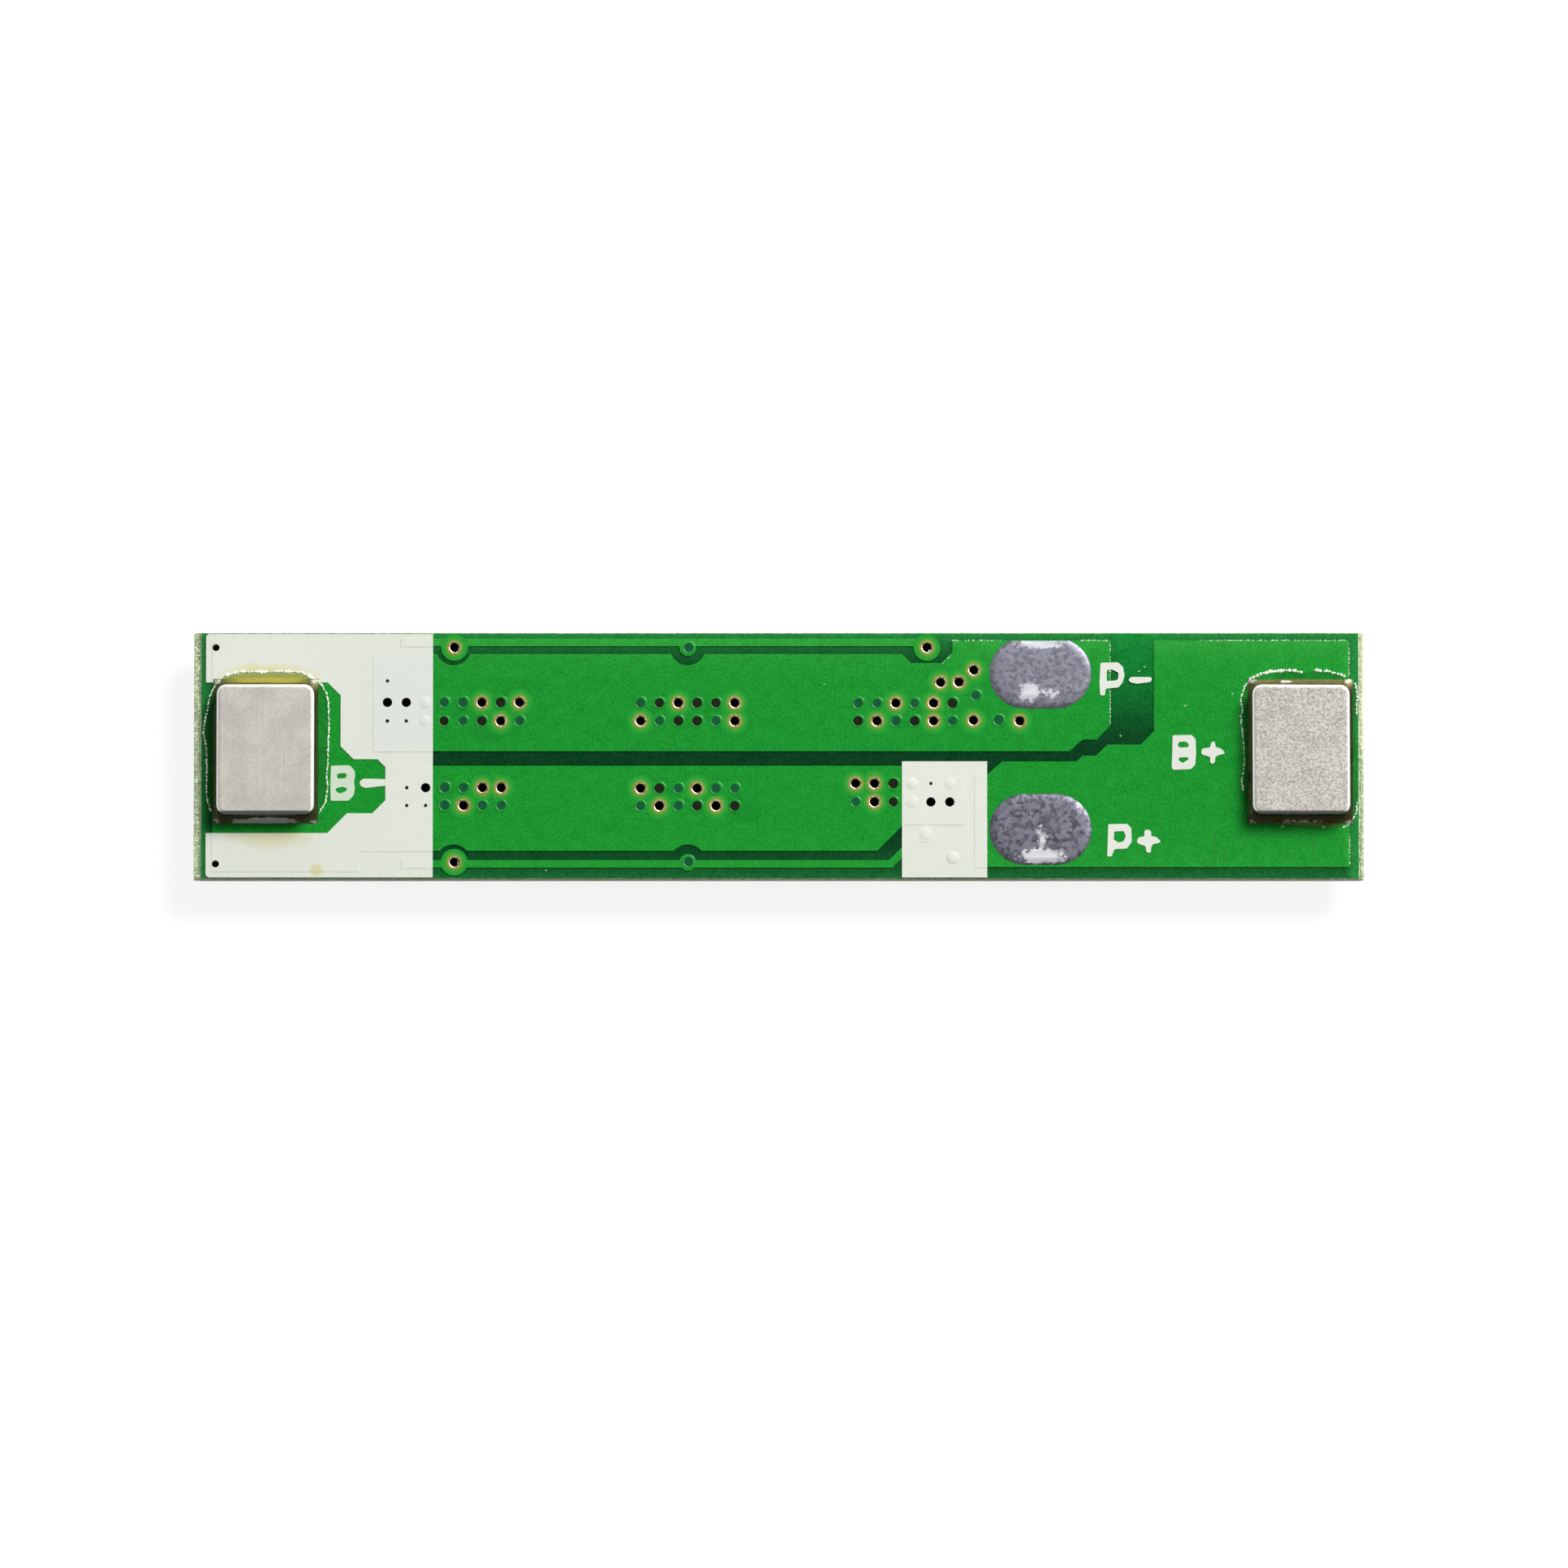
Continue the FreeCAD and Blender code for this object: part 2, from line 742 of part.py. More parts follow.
def front_copper():
    """Outlines of the component side's copper: for each net its pours and tracks, and its lands."""
    ic_low, ic_high = package_lands(
        ic_x, ic_y, ic_lead_pitch, ic_leads_per_side, ic_lead_span, ic_foot_length, ic_lead_width
    )
    sense = chip_lands(sense_resistor_x, sense_resistor_y, False)
    filter_pair = chip_lands(filter_capacitor_x, chip_row_y, True)
    supply = chip_lands(supply_resistor_x, chip_row_y, True)
    ground_x = ic_x - ic_lead_pitch
    lead_row = ic_lead_span / 2 - ic_foot_length / 2

    ground_track_x = right_end - ground_track_end_gap
    b_minus_start = left_end + left_pour_end_gap
    b_minus = [
        rectangle(b_minus_start, right_end - front_b_minus_end_gap, -front_pour_outer, -front_pour_inner),
    ]
    b_minus += run(
        (ground_track_x, -front_pour_inner - front_track_width),
        (ground_track_x, sense_resistor_y),
        (ground_x, sense_resistor_y),
        (ground_x, chip_row_y),
    )
    b_minus_lands = [ic_high[0], filter_pair[0]]

    p_minus_end = right_end - front_p_minus_end_gap
    middle_via, last_via = single_vias(high_single_vias)[1:]
    p_minus = [
        rectangle(p_minus_start, p_minus_end, front_pour_inner, front_pour_outer),
        rectangle(
            middle_via[0] - via_opening_radius,
            last_via[0] + 2 * via_opening_radius,
            front_pour_outer - front_track_width,
            last_via[1] + via_opening_radius,
        ),
    ]
    p_minus_lands = [sense[1]]

    supply_low_x = supply_resistor_x - chip_length / 2
    signals = run((ic_x, ic_y + lead_row), (ic_x, chip_row_y), (supply_low_x, chip_row_y))
    signals += run(
        (charge_pad_x[-1], charge_track_y),
        (supply_resistor_x, charge_track_y),
        (supply_resistor_x, ic_y - lead_row),
        (ic_x + ic_lead_pitch, ic_y - lead_row),
    )
    discharge_y = -front_pour_outer - discharge_run_gap
    signals += run((discharge_end_x, discharge_y), (ground_x, discharge_y), (ground_x, ic_y - lead_row))
    supply_via_x = right_end - supply_via_end_gap
    supply_via_y = -side + supply_via_side_gap
    supply_x = supply_resistor_x + chip_length / 2
    signals += run((supply_via_x, supply_via_y), (supply_x, supply_via_y), (supply_x, chip_row_y))
    sense_y = sense_resistor_y - chip_length / 2
    signals += run((sense_resistor_x, sense_y), (ic_x, sense_y), (ic_x, ic_y - lead_row))
    signal_lands = [sense[0], filter_pair[1], supply[0], supply[1], ic_high[1], ic_high[2]] + ic_low

    source_leads = leads_per_side // 2
    for x in mosfet_x:
        low, high = package_lands(
            x, 0, mosfet_lead_pitch, leads_per_side, mosfet_lead_span, mosfet_foot_length, mosfet_lead_width
        )
        sources = ((low, b_minus, b_minus_lands, -1), (high, p_minus, p_minus_lands, 1))
        for row, pour, pour_lands, sign in sources:
            reach = sorted((sign * (front_pour_outer - front_track_width), sign * mosfet_lead_span / 2))
            pour += [rectangle(land.BoundBox.XMin, land.BoundBox.XMax, *reach) for land in row[:source_leads]]
            pour_lands += row[:source_leads]
            signal_lands += row[source_leads:]
    return {
        "front_copper_b_minus": (b_minus, b_minus_lands),
        "front_copper_p_minus": (p_minus, p_minus_lands),
        "front_copper_signals": (signals, signal_lands),
    }


def back_side():
    """The solder side: copper, mask, print, tinned pads and nickel blocks."""
    faces = {
        "copper_b_minus": b_minus_face(),
        "copper_p_minus": p_minus_face(),
        "copper_b_plus": b_plus_face(),
        "gate_track_charge": charge_track_face(),
        "gate_track_discharge": discharge_track_face(),
    }
    holes = drills(back_z, plateau_top + print_thickness)
    copper = {name: prism(face, back_z, copper_top) for name, face in faces.items()}
    pads = {"tinned_pad_p_minus": p_minus_pad(), "tinned_pad_p_plus": p_plus_pad()}
    openings = list(pads.values()) + [block_pad(left_block_x), block_pad(right_block_x)]
    outlines = list(faces.values())
    coat = mask(outlines, list(copper.values()), openings, back_z, 1)

    for name, field in (("print_field_left", left_print_face()), ("print_field_right", right_print_face())):
        export(name, printed(field, outlines, coat, list(copper.values())).cut(holes))
    for name, solid in copper.items():
        export(name, solid.cut(holes))
    rings = [prism(small_round(x, y, via_opening_radius), copper_top, plateau_top) for x, y in open_vias()]
    export("solder_mask_back", coat.cut(holes + rings))
    for name, face in pads.items():
        export(name, tinned_pad(face))
    for net, x in (("b_minus", left_block_x), ("b_plus", right_block_x)):
        block = nickel_block(x)
        export("nickel_block_" + net, block)
        export("solder_bed_" + net, solder_bed(x, block))


def front_side():
    """The component side: copper, mask, packages, chip parts and their solder."""
    copper = []
    tracks = []
    openings = []
    for name, (net_tracks, net_lands) in front_copper().items():
        copper.append(merged([prism(face, front_z, land_z) for face in net_tracks + net_lands]))
        export(name, copper[-1])
        tracks += net_tracks
        openings += [grown(land, mask_land_gap) for land in net_lands]
    export("solder_mask_front", mask(tracks, copper, openings, front_z, -1))

    body, leads, joints = mosfet()
    for number, x in enumerate(mosfet_x, 1):
        export("mosfet_body_%d" % number, hang(body, x, 0))
        export("mosfet_leads_%d" % number, hang(leads, x, 0))
        export("mosfet_joints_%d" % number, hang(joints, x, 0))
    for name, piece in zip(("body", "leads", "joints"), protection_ic()):
        export("protection_ic_" + name, hang(piece, ic_x, ic_y))

    pair = chip_joint_pair()
    body, caps = chip(resistor_height)
    export("sense_resistor_body", hang(body, sense_resistor_x, sense_resistor_y))
    export("sense_resistor_caps", hang(caps, sense_resistor_x, sense_resistor_y))
    export("supply_resistor_body", hang(along(body), supply_resistor_x, chip_row_y))
    export("supply_resistor_caps", hang(along(caps), supply_resistor_x, chip_row_y))
    body, caps = chip(capacitor_height)
    export("filter_capacitor_body", hang(along(body), filter_capacitor_x, chip_row_y))
    export("filter_capacitor_caps", hang(along(caps), filter_capacitor_x, chip_row_y))
    chip_joints = [
        hang(pair, sense_resistor_x, sense_resistor_y),
        hang(along(pair), supply_resistor_x, chip_row_y),
        hang(along(pair), filter_capacitor_x, chip_row_y),
    ]
    export("chip_joints", Part.makeCompound(chip_joints))


os.makedirs("parts", exist_ok=True)
export("laminate", laminate())
back_side()
front_side()
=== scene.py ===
import math
import random

import bmesh
import bpy
from bpy.props import FloatProperty, FloatVectorProperty, IntProperty, PointerProperty
from mathutils import Matrix, Vector, noise


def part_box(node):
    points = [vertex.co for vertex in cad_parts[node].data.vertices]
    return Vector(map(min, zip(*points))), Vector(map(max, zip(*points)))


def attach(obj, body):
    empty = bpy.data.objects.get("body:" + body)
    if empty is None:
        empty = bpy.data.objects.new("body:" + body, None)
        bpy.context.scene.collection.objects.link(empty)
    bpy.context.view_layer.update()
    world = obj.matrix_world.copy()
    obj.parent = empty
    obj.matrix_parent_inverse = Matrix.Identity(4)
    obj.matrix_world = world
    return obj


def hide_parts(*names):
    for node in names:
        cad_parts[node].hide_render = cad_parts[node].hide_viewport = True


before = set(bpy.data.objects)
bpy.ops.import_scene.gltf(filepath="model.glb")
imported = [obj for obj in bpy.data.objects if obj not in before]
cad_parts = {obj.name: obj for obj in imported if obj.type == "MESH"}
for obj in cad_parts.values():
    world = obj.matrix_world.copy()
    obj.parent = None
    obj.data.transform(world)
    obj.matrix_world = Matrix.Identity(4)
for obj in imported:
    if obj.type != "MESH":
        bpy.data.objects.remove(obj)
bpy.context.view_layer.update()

bl_info = {
    "name": "Battery protection board",
    "version": (1, 0, 0),
    "blender": (4, 5, 0),
    "location": "View3D > Sidebar > Board",
    "description": "Finishes a battery protection board, its weld blocks, vias, print and packages",
    "category": "Object",
}

MM = 0.001

# Levels and centres that come from the frame
MASK_LOW, MASK_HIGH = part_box("solder_mask_back")
PRINT_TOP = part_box("print_field_left")[1][2]
COPPER_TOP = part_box("copper_b_minus")[1][2]
PLATEAU = MASK_HIGH[2]
LAMINATE_LOW, LAMINATE_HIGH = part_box("laminate")
BASE_TOP = LAMINATE_HIGH[2] + PLATEAU - COPPER_TOP
BLOCKS = {"b_minus": "nickel_block_b_minus", "b_plus": "nickel_block_b_plus"}

# Edges that turn more than this stay sharp
CREASE = math.radians(40)

# Vias of the solder side in mm. Each row has its first hole, height and one letter a hole:
# o open with a bright ring, d dark and open with a thin ring, t closed by the mask, p a pinhole, b a bump
VIA_PITCH = 0.58
VIA_ROWS = [
    (-12.04, 1.645, "oobttodo"),
    (-12.04, 1.07, "ppbdtdot"),
    (-11.44, -0.99, "pottoo"),
    (-11.44, -1.54, "pptott"),
    (-4.255, 1.63, "tdoddo"),
    (-4.255, 1.07, "otddto"),
    (-4.255, -1.01, "odtott"),
    (-4.255, -1.55, "totdod"),
    (2.44, 1.62, "ttotod"),
    (2.44, 1.07, "dotdot"),
    (2.36, -0.86, "oodbpb"),
    (2.36, -1.43, "todboo"),
]
SINGLE_VIAS = [
    (5.99, 1.09, "o"), (7.41, 1.07, "o"), (6.76, 1.1, "t"), (4.975, 2.26, "o"), (5.54, 2.27, "o"), (6.0, 2.64, "o"),
    (6.06, 1.86, "t"), (-9.98, 3.34, "o"), (-2.775, 3.34, "t"), (4.56, 3.34, "o"), (-9.98, -3.29, "o"),
    (-2.775, -3.27, "t"), (4.51, -2.41, "b"), (5.36, -3.14, "b"), (-12.04, 2.31, "p"),
]

# Radii in mm: a closed via's rim, the crest of the rim and the well in it, then bumps and pinholes
RIM_RADIUS = 0.215
CREST_RADIUS = 0.175
WELL_RADII = {"t": 0.14, "d": 0.15}
BUMP_RADIUS = 0.19
PIN_RADIUS = 0.055
PIN_SIDES = 12

# Radius of the plated bore in mm, and the closed profiles round it: distance from that radius and height over the
# mask, in mm
BORE_RADIUS = 0.146
LIP_PROFILE = [(-0.012, -0.02), (-0.004, 0.004), (0.016, 0.011), (0.04, 0.0095), (0.04, -0.006), (0.0, -0.01)]
HALO_PROFILE = [
    (0.038, 0.0085), (0.069, 0.0065), (0.099, 0.0045), (0.139, 0.0025), (0.199, 0.0012), (0.269, 0.0004),
    (0.269, -0.002), (0.038, -0.004),
]

# Output pads: their width in mm, and the steps of their domes as inset and rise in mm
PAD_WIDTH = 2.2
PAD_SIDES = 64
PAD_STEPS = [(0.035, 0.022), (0.06, 0.015), (0.12, 0.008), (0.25, 0.003), (0.3, 0.001)]

# Outlines of the flux that spread round the blocks, chosen along the photographed bead line, in mm. Each
# goes up the left side, along the top and down the right side.
FLUX_OUTLINES = {
    "b_minus": [
        (-17.35, -2.0), (-17.47, -1.67), (-17.57, -1.4), (-17.6, -1.09), (-17.59, -0.35), (-17.61, 0.3), (-17.7, 0.69),
        (-17.65, 1.07), (-17.57, 1.42), (-17.51, 1.82), (-17.36, 2.15), (-17.07, 2.47), (-16.56, 2.6), (-15.94, 2.585),
        (-15.1, 2.6), (-14.76, 2.585), (-14.45, 2.47), (-14.18, 2.28), (-14.03, 2.125), (-13.92, 1.93),
        (-13.86, 1.645), (-13.84, 1.07), (-13.85, 0.65), (-13.865, 0.0), (-13.9, -0.61), (-13.88, -0.96),
        (-13.93, -1.42), (-14.15, -1.8), (-14.35, -2.0),
    ],
    "b_plus": [
        (14.45, -2.05), (14.3, -1.6), (14.3, -1.05), (14.24, -0.8), (14.32, -0.38), (14.33, 0.0), (14.28, 0.69),
        (14.22, 1.225), (14.28, 1.38), (14.22, 1.72), (14.335, 2.14), (14.53, 2.37), (14.815, 2.53), (15.27, 2.62),
        (15.73, 2.64), (16.19, 2.565), (16.5, 2.62), (16.96, 2.6), (17.5, 2.43), (17.74, 2.25), (17.8, 1.95),
        (17.78, 1.26), (17.77, 0.67), (17.79, -0.6), (17.8, -1.455), (17.76, -1.76), (17.65, -1.99), (17.53, -2.125),
        (17.3, -2.22),
    ],
}
# Stretches of each outline without beads, as numbers of their points
BARE_RIM = {"b_minus": {0, 27}, "b_plus": {0, 1, 15, 18, 21, 22, 23}}

# Painted glints along the edges of the foil, as white beads on the coat: both ends in mm, and how full the line is
GLINT_LINES = [
    (10.2, 3.5, 10.2, 0.95, 0.95), (9.3, 3.56, 10.15, 3.56, 0.8), (12.95, 3.56, 17.5, 3.56, 0.75),
    (17.55, 3.5, 17.55, 2.45, 0.9), (17.55, -2.5, 17.55, -3.4, 0.9), (5.05, 2.87, 5.3, 3.1, 0.6),
    (5.3, 3.56, 6.9, 3.56, 0.55),
]

# The glints' spacing, smallest and largest width in mm
GLINT_STEP = 0.042
GLINT_WIDTHS = (0.02, 0.042)

# Dust on the mask, then scratches in it: place in mm, width and length in mm and turn in degrees
SPECKS = [
    (12.5, 1.54, 0.08, 0.05, 20), (13.96, 1.91, 0.07, 0.05, 70), (11.09, 2.61, 0.1, 0.04, 35),
    (11.26, 2.74, 0.07, 0.04, 0), (-7.16, -3.54, 0.06, 0.05, 0), (10.51, 0.61, 0.06, 0.05, 10),
    (15.5, -2.19, 0.12, 0.06, 10), (16.75, -2.2, 0.12, 0.07, -10), (1.4, 2.2, 0.05, 0.04, 0),
]
SCRATCHES = [
    (13.41, -2.7, 0.03, 1.1, 0), (13.69, -3.05, 0.03, 0.6, 0), (16.44, -2.8, 0.03, 0.7, 0),
    (-3.39, 0.4, 0.025, 0.25, 0), (-0.36, -2.4, 0.025, 0.3, 0), (11.76, -2.06, 0.03, 0.5, 0),
    (12.48, 1.1, 0.06, 0.07, 0),
]

# Stage: the point of the board that the camera faces and the width it sees, in mm, and the key lamp in metres
CAMERA_TARGET = (0.1625, -0.875)
CAMERA_WIDTH = 48.23
LAMP_SIZE = (0.2, 0.2)
LAMP_PLACE = (0.22, 0.25, 0.38)
LAMP_WATTS = 3.0
FLOOR_RADIUS = 3.0


class BoardColours(bpy.types.PropertyGroup):
    """Colours of the board's finishes, in linear light."""

    mask_on_copper: FloatVectorProperty(
        name="Mask on copper", description="Green coat where copper lies under it", subtype="COLOR",
        default=(0.0095, 0.262, 0.0245), min=0, max=1,
    )
    mask_on_glass: FloatVectorProperty(
        name="Mask on glass", description="Green coat on the bare core, away from the edges", subtype="COLOR",
        default=(0.0009, 0.042, 0.0105), min=0, max=1,
    )
    mask_at_edge: FloatVectorProperty(
        name="Mask at edge", description="Green coat on the bare core where light enters from the edge",
        subtype="COLOR", default=(0.016, 0.22, 0.041), min=0, max=1,
    )
    print_white: FloatVectorProperty(
        name="White print", description="Ink of the printed fields and marks", subtype="COLOR",
        default=(0.68, 0.7, 0.625), min=0, max=1,
    )
    nickel: FloatVectorProperty(
        name="Nickel", description="Weld blocks", subtype="COLOR", default=(0.68, 0.67, 0.595), min=0, max=1,
    )
    dull_tin: FloatVectorProperty(
        name="Dull tin", description="Solder between its crystals", subtype="COLOR",
        default=(0.215, 0.215, 0.265), min=0, max=1,
    )
    bright_tin: FloatVectorProperty(
        name="Bright tin", description="Crystals of the solder", subtype="COLOR",
        default=(0.72, 0.72, 0.74), min=0, max=1,
    )
    flux: FloatVectorProperty(
        name="Flux", description="Dried flux that stains mask and print", subtype="COLOR",
        default=(0.6, 0.52, 0.09), min=0, max=1,
    )
    glass: FloatVectorProperty(
        name="Glass core", description="Bare glass and epoxy at the cut edges", subtype="COLOR",
        default=(0.56, 0.71, 0.4), min=0, max=1,
    )
    gold: FloatVectorProperty(
        name="Via ring", description="Plating left bare round an open via", subtype="COLOR",
        default=(0.95, 0.84, 0.56), min=0, max=1,
    )


class BoardSizes(bpy.types.PropertyGroup):
    """Sizes of what is added to the frame."""

    via_sides: IntProperty(
        name="Via sides", description="Sides of each ring and dimple", default=20, min=8, max=64,
    )
    rim_height: FloatProperty(
        name="Rim height", description="Height of the mask's rim round a closed via",
        default=0.014 * MM, unit="LENGTH", subtype="DISTANCE",
    )
    block_corner: FloatProperty(
        name="Block corner", description="Corner radius of a weld block seen from above",
        default=0.3 * MM, unit="LENGTH", subtype="DISTANCE",
    )
    block_edge: FloatProperty(
        name="Block edge", description="Radius of a weld block's worn upper edge",
        default=0.085 * MM, unit="LENGTH", subtype="DISTANCE",
    )
    mark_corner: FloatProperty(
        name="Mark corner", description="Rounding of the printed marks' corners", default=0.05 * MM, unit="LENGTH",
        subtype="DISTANCE",
    )
    print_relief: FloatProperty(
        name="Print relief", description="Share of the foil's step that the white ink still shows", default=0.3,
        min=0, max=1,
    )
    bead_size: FloatProperty(
        name="Flux bead", description="Width of the flux beads", default=0.066 * MM, unit="LENGTH", subtype="DISTANCE",
    )
    camera_tilt: FloatProperty(
        name="Camera tilt", description="Lean of the camera from straight above", default=math.radians(5.0),
        unit="ROTATION", subtype="ANGLE",
    )
    camera_distance: FloatProperty(
        name="Camera distance", description="From the board to the camera", default=0.5, unit="LENGTH",
        subtype="DISTANCE",
    )


class Builder:
    """Adds nodes to one tree and joins them, so that a material reads as a list of steps."""

    def __init__(self, tree):
        self.tree = tree

    def add(self, kind, settings=None, **inputs):
        node = self.tree.nodes.new(kind)
        for name, value in (settings or {}).items():
            setattr(node, name, value)
        for name, value in inputs.items():
            self.feed(node, name.replace("_", " "), value)
        return node

    def feed(self, node, name, value):
        socket = node.inputs[int(name)] if name.isdigit() else node.inputs[name]
        if isinstance(value, bpy.types.NodeSocket):
            self.tree.links.new(value, socket)
        elif hasattr(socket.default_value, "__len__") and not hasattr(value, "__len__"):
            socket.default_value = [value] * len(socket.default_value)
        elif hasattr(value, "__len__") and len(value) == 3 and len(socket.default_value) == 4:
            socket.default_value = (*value, 1.0)
        else:
            socket.default_value = value

    def place(self, scale=1.0, stretch=(1.0, 1.0, 1.0)):
        """The point on the object in mm, scaled and stretched."""
        where = self.add("ShaderNodeTexCoord").outputs["Object"]
        factor = [1000.0 * scale * part for part in stretch]
        return self.add("ShaderNodeMapping", Vector=where, Scale=factor).outputs["Vector"]

    def split(self, vector):
        """The X, Y and Z of a vector."""
        return self.add("ShaderNodeSeparateXYZ", Vector=vector).outputs

    def math(self, operation, first, second=None, clamp=False):
        node = self.add("ShaderNodeMath", {"operation": operation, "use_clamp": clamp})
        self.feed(node, "0", first)
        if second is not None:
            self.feed(node, "1", second)
        return node.outputs[0]

    def span(self, value, low, high, start=0.0, end=1.0, smooth=True):
        """Maps a value's stretch from low to high onto start to end."""
        kind = "SMOOTHSTEP" if smooth else "LINEAR"
        node = self.add("ShaderNodeMapRange", {"interpolation_type": kind, "clamp": True})
        self.feed(node, "Value", value)
        for name, number in (("From Min", low), ("From Max", high), ("To Min", start), ("To Max", end)):
            self.feed(node, name, number)
        return node.outputs["Result"]

    def mix(self, factor, first, second, blend="MIX"):
        node = self.add("ShaderNodeMix", {"data_type": "RGBA", "blend_type": blend})
        for index, value in ((0, factor), (6, first), (7, second)):
            socket = node.inputs[index]
            if isinstance(value, bpy.types.NodeSocket):
                self.tree.links.new(value, socket)
            elif index == 0:
                socket.default_value = value
            else:
                socket.default_value = (*value, 1.0)
        return node.outputs[2]

    def noise(self, vector, scale, detail=3.0, rough=0.55):
        node = self.add("ShaderNodeTexNoise", Vector=vector, Scale=scale, Detail=detail, Roughness=rough)
        return node.outputs["Fac"]

    def bump(self, height, strength, distance):
        node = self.add("ShaderNodeBump", Height=height, Strength=strength, Distance=distance)
        return node.outputs["Normal"]


def new_material(name, **values):
    """A material with a Principled shader whose plain sockets are set here, and its builder."""
    material = bpy.data.materials.new(name)
    material.use_nodes = True
    tree = material.node_tree
    shader = tree.nodes["Principled BSDF"]
    steps = Builder(tree)
    for key, value in values.items():
        steps.feed(shader, key.replace("_", " "), value)
    return material, steps, shader


def shaded(colour, *factors):
    """A colour times one factor, or times one each for red, green and blue."""
    return tuple(part * factor for part, factor in zip(colour, factors if len(factors) == 3 else factors * 3))


def new_group(name, inputs, outputs):
    """An empty node group with float inputs and outputs, and its builder."""
    group = bpy.data.node_groups.new(name, "ShaderNodeTree")
    for label, value in inputs.items():
        group.interface.new_socket(label, in_out="INPUT", socket_type="NodeSocketFloat").default_value = value
    for label in outputs:
        group.interface.new_socket(label, in_out="OUTPUT", socket_type="NodeSocketFloat")
    steps = Builder(group)
    source = group.nodes.new("NodeGroupInput")
    sink = group.nodes.new("NodeGroupOutput")
    return group, steps, source.outputs, sink


def use_group(steps, group, **inputs):
    node = steps.add("ShaderNodeGroup", {"node_tree": group})
    for name, value in inputs.items():
        steps.feed(node, name.replace("_", " "), value)
    return node.outputs


def patch_group():
    """A ragged oval or square patch, as a mask that is 1 inside it."""
    inputs = {
        "Centre X": 0.0, "Centre Y": 0.0, "Half width": 1.0, "Half height": 1.0, "Square": 0.0, "Softness": 0.3,
        "Ragged": 0.5, "Scale": 3.0,
    }
    group, steps, given, sink = new_group("Patch", inputs, ["Mask"])
    where = steps.place()
    split = steps.split(where)
    off_x = steps.math("DIVIDE", steps.math("SUBTRACT", split["X"], given["Centre X"]), given["Half width"])
    off_y = steps.math("DIVIDE", steps.math("SUBTRACT", split["Y"], given["Centre Y"]), given["Half height"])
    oval = steps.math("SQRT", steps.math("ADD", steps.math("POWER", off_x, 2.0), steps.math("POWER", off_y, 2.0)))
    square = steps.math("MAXIMUM", steps.math("ABSOLUTE", off_x), steps.math("ABSOLUTE", off_y))
    blend = steps.add("ShaderNodeMix", {"data_type": "FLOAT"})
    for index, value in ((0, given["Square"]), (2, oval), (3, square)):
        steps.tree.links.new(value, blend.inputs[index])
    uneven = steps.add("ShaderNodeTexNoise", Vector=where, Scale=given["Scale"], Detail=5.0, Roughness=0.65)
    sway = steps.math("MULTIPLY", steps.math("SUBTRACT", uneven.outputs["Fac"], 0.5), given["Ragged"])
    reach = steps.math("ADD", blend.outputs[0], sway)
    low = steps.math("SUBTRACT", 1.0, given["Softness"])
    steps.feed(sink, "Mask", steps.span(reach, low, 1.0, 1.0, 0.0))
    return group


def coat_grain_group():
    """Fine unevenness of a printed or sprayed coat, as a brightness factor and a height."""
    inputs = {"Scale": 6.0, "Contrast": 0.1}
    group, steps, given, sink = new_group("Coat grain", inputs, ["Factor", "Height"])
    where = steps.place()
    broad = steps.add("ShaderNodeTexNoise", Vector=where, Scale=given["Scale"], Detail=4.0).outputs["Fac"]
    fine = steps.noise(where, 13.0, 4.0, 0.75)
    both = steps.math("ADD", steps.math("MULTIPLY", broad, 0.22), steps.math("MULTIPLY", fine, 0.78))
    swing = steps.math("MULTIPLY", steps.math("SUBTRACT", both, 0.5), given["Contrast"])
    steps.feed(sink, "Factor", steps.math("ADD", steps.math("MULTIPLY", swing, 2.0), 1.0))
    steps.feed(sink, "Height", both)
    return group


GROUPS = {}


def shared(name):
    """One shared node group, built when it is first asked for."""
    makers = {"patch": patch_group, "grain": coat_grain_group}
    if name not in GROUPS:
        GROUPS[name] = makers[name]()
    return GROUPS[name]


def patches(steps, spots, square=0.0, softness=0.3, ragged=0.5, scale=3.0):
    """Several patches together. Each spot is centre x, centre y, half width, half height and strength."""
    total = None
    for x, y, half_width, half_height, strength in spots:
        given = use_group(
            steps, shared("patch"), Centre_X=x, Centre_Y=y, Half_width=half_width, Half_height=half_height,
            Square=square, Softness=softness, Ragged=ragged, Scale=scale,
        )
        amount = steps.math("MULTIPLY", given["Mask"], strength)
        total = amount if total is None else steps.math("MAXIMUM", total, amount)
    return total


def cut_corner(steps, place):
    """The small corner that the right pour lacks beside the right printed field, as a mask."""
    left, top, width, depth = 6.43, -0.23, 0.39, 0.34
    across = steps.math("DIVIDE", steps.math("SUBTRACT", place["X"], left), width)
    down = steps.math("DIVIDE", steps.math("SUBTRACT", top, place["Y"]), depth)
    inside = steps.span(steps.math("ADD", across, down), 0.97, 1.03, 1.0, 0.0)
    for reach in (across, down):
        inside = steps.math("MULTIPLY", inside, steps.math("GREATER_THAN", reach, -0.3))
    return inside


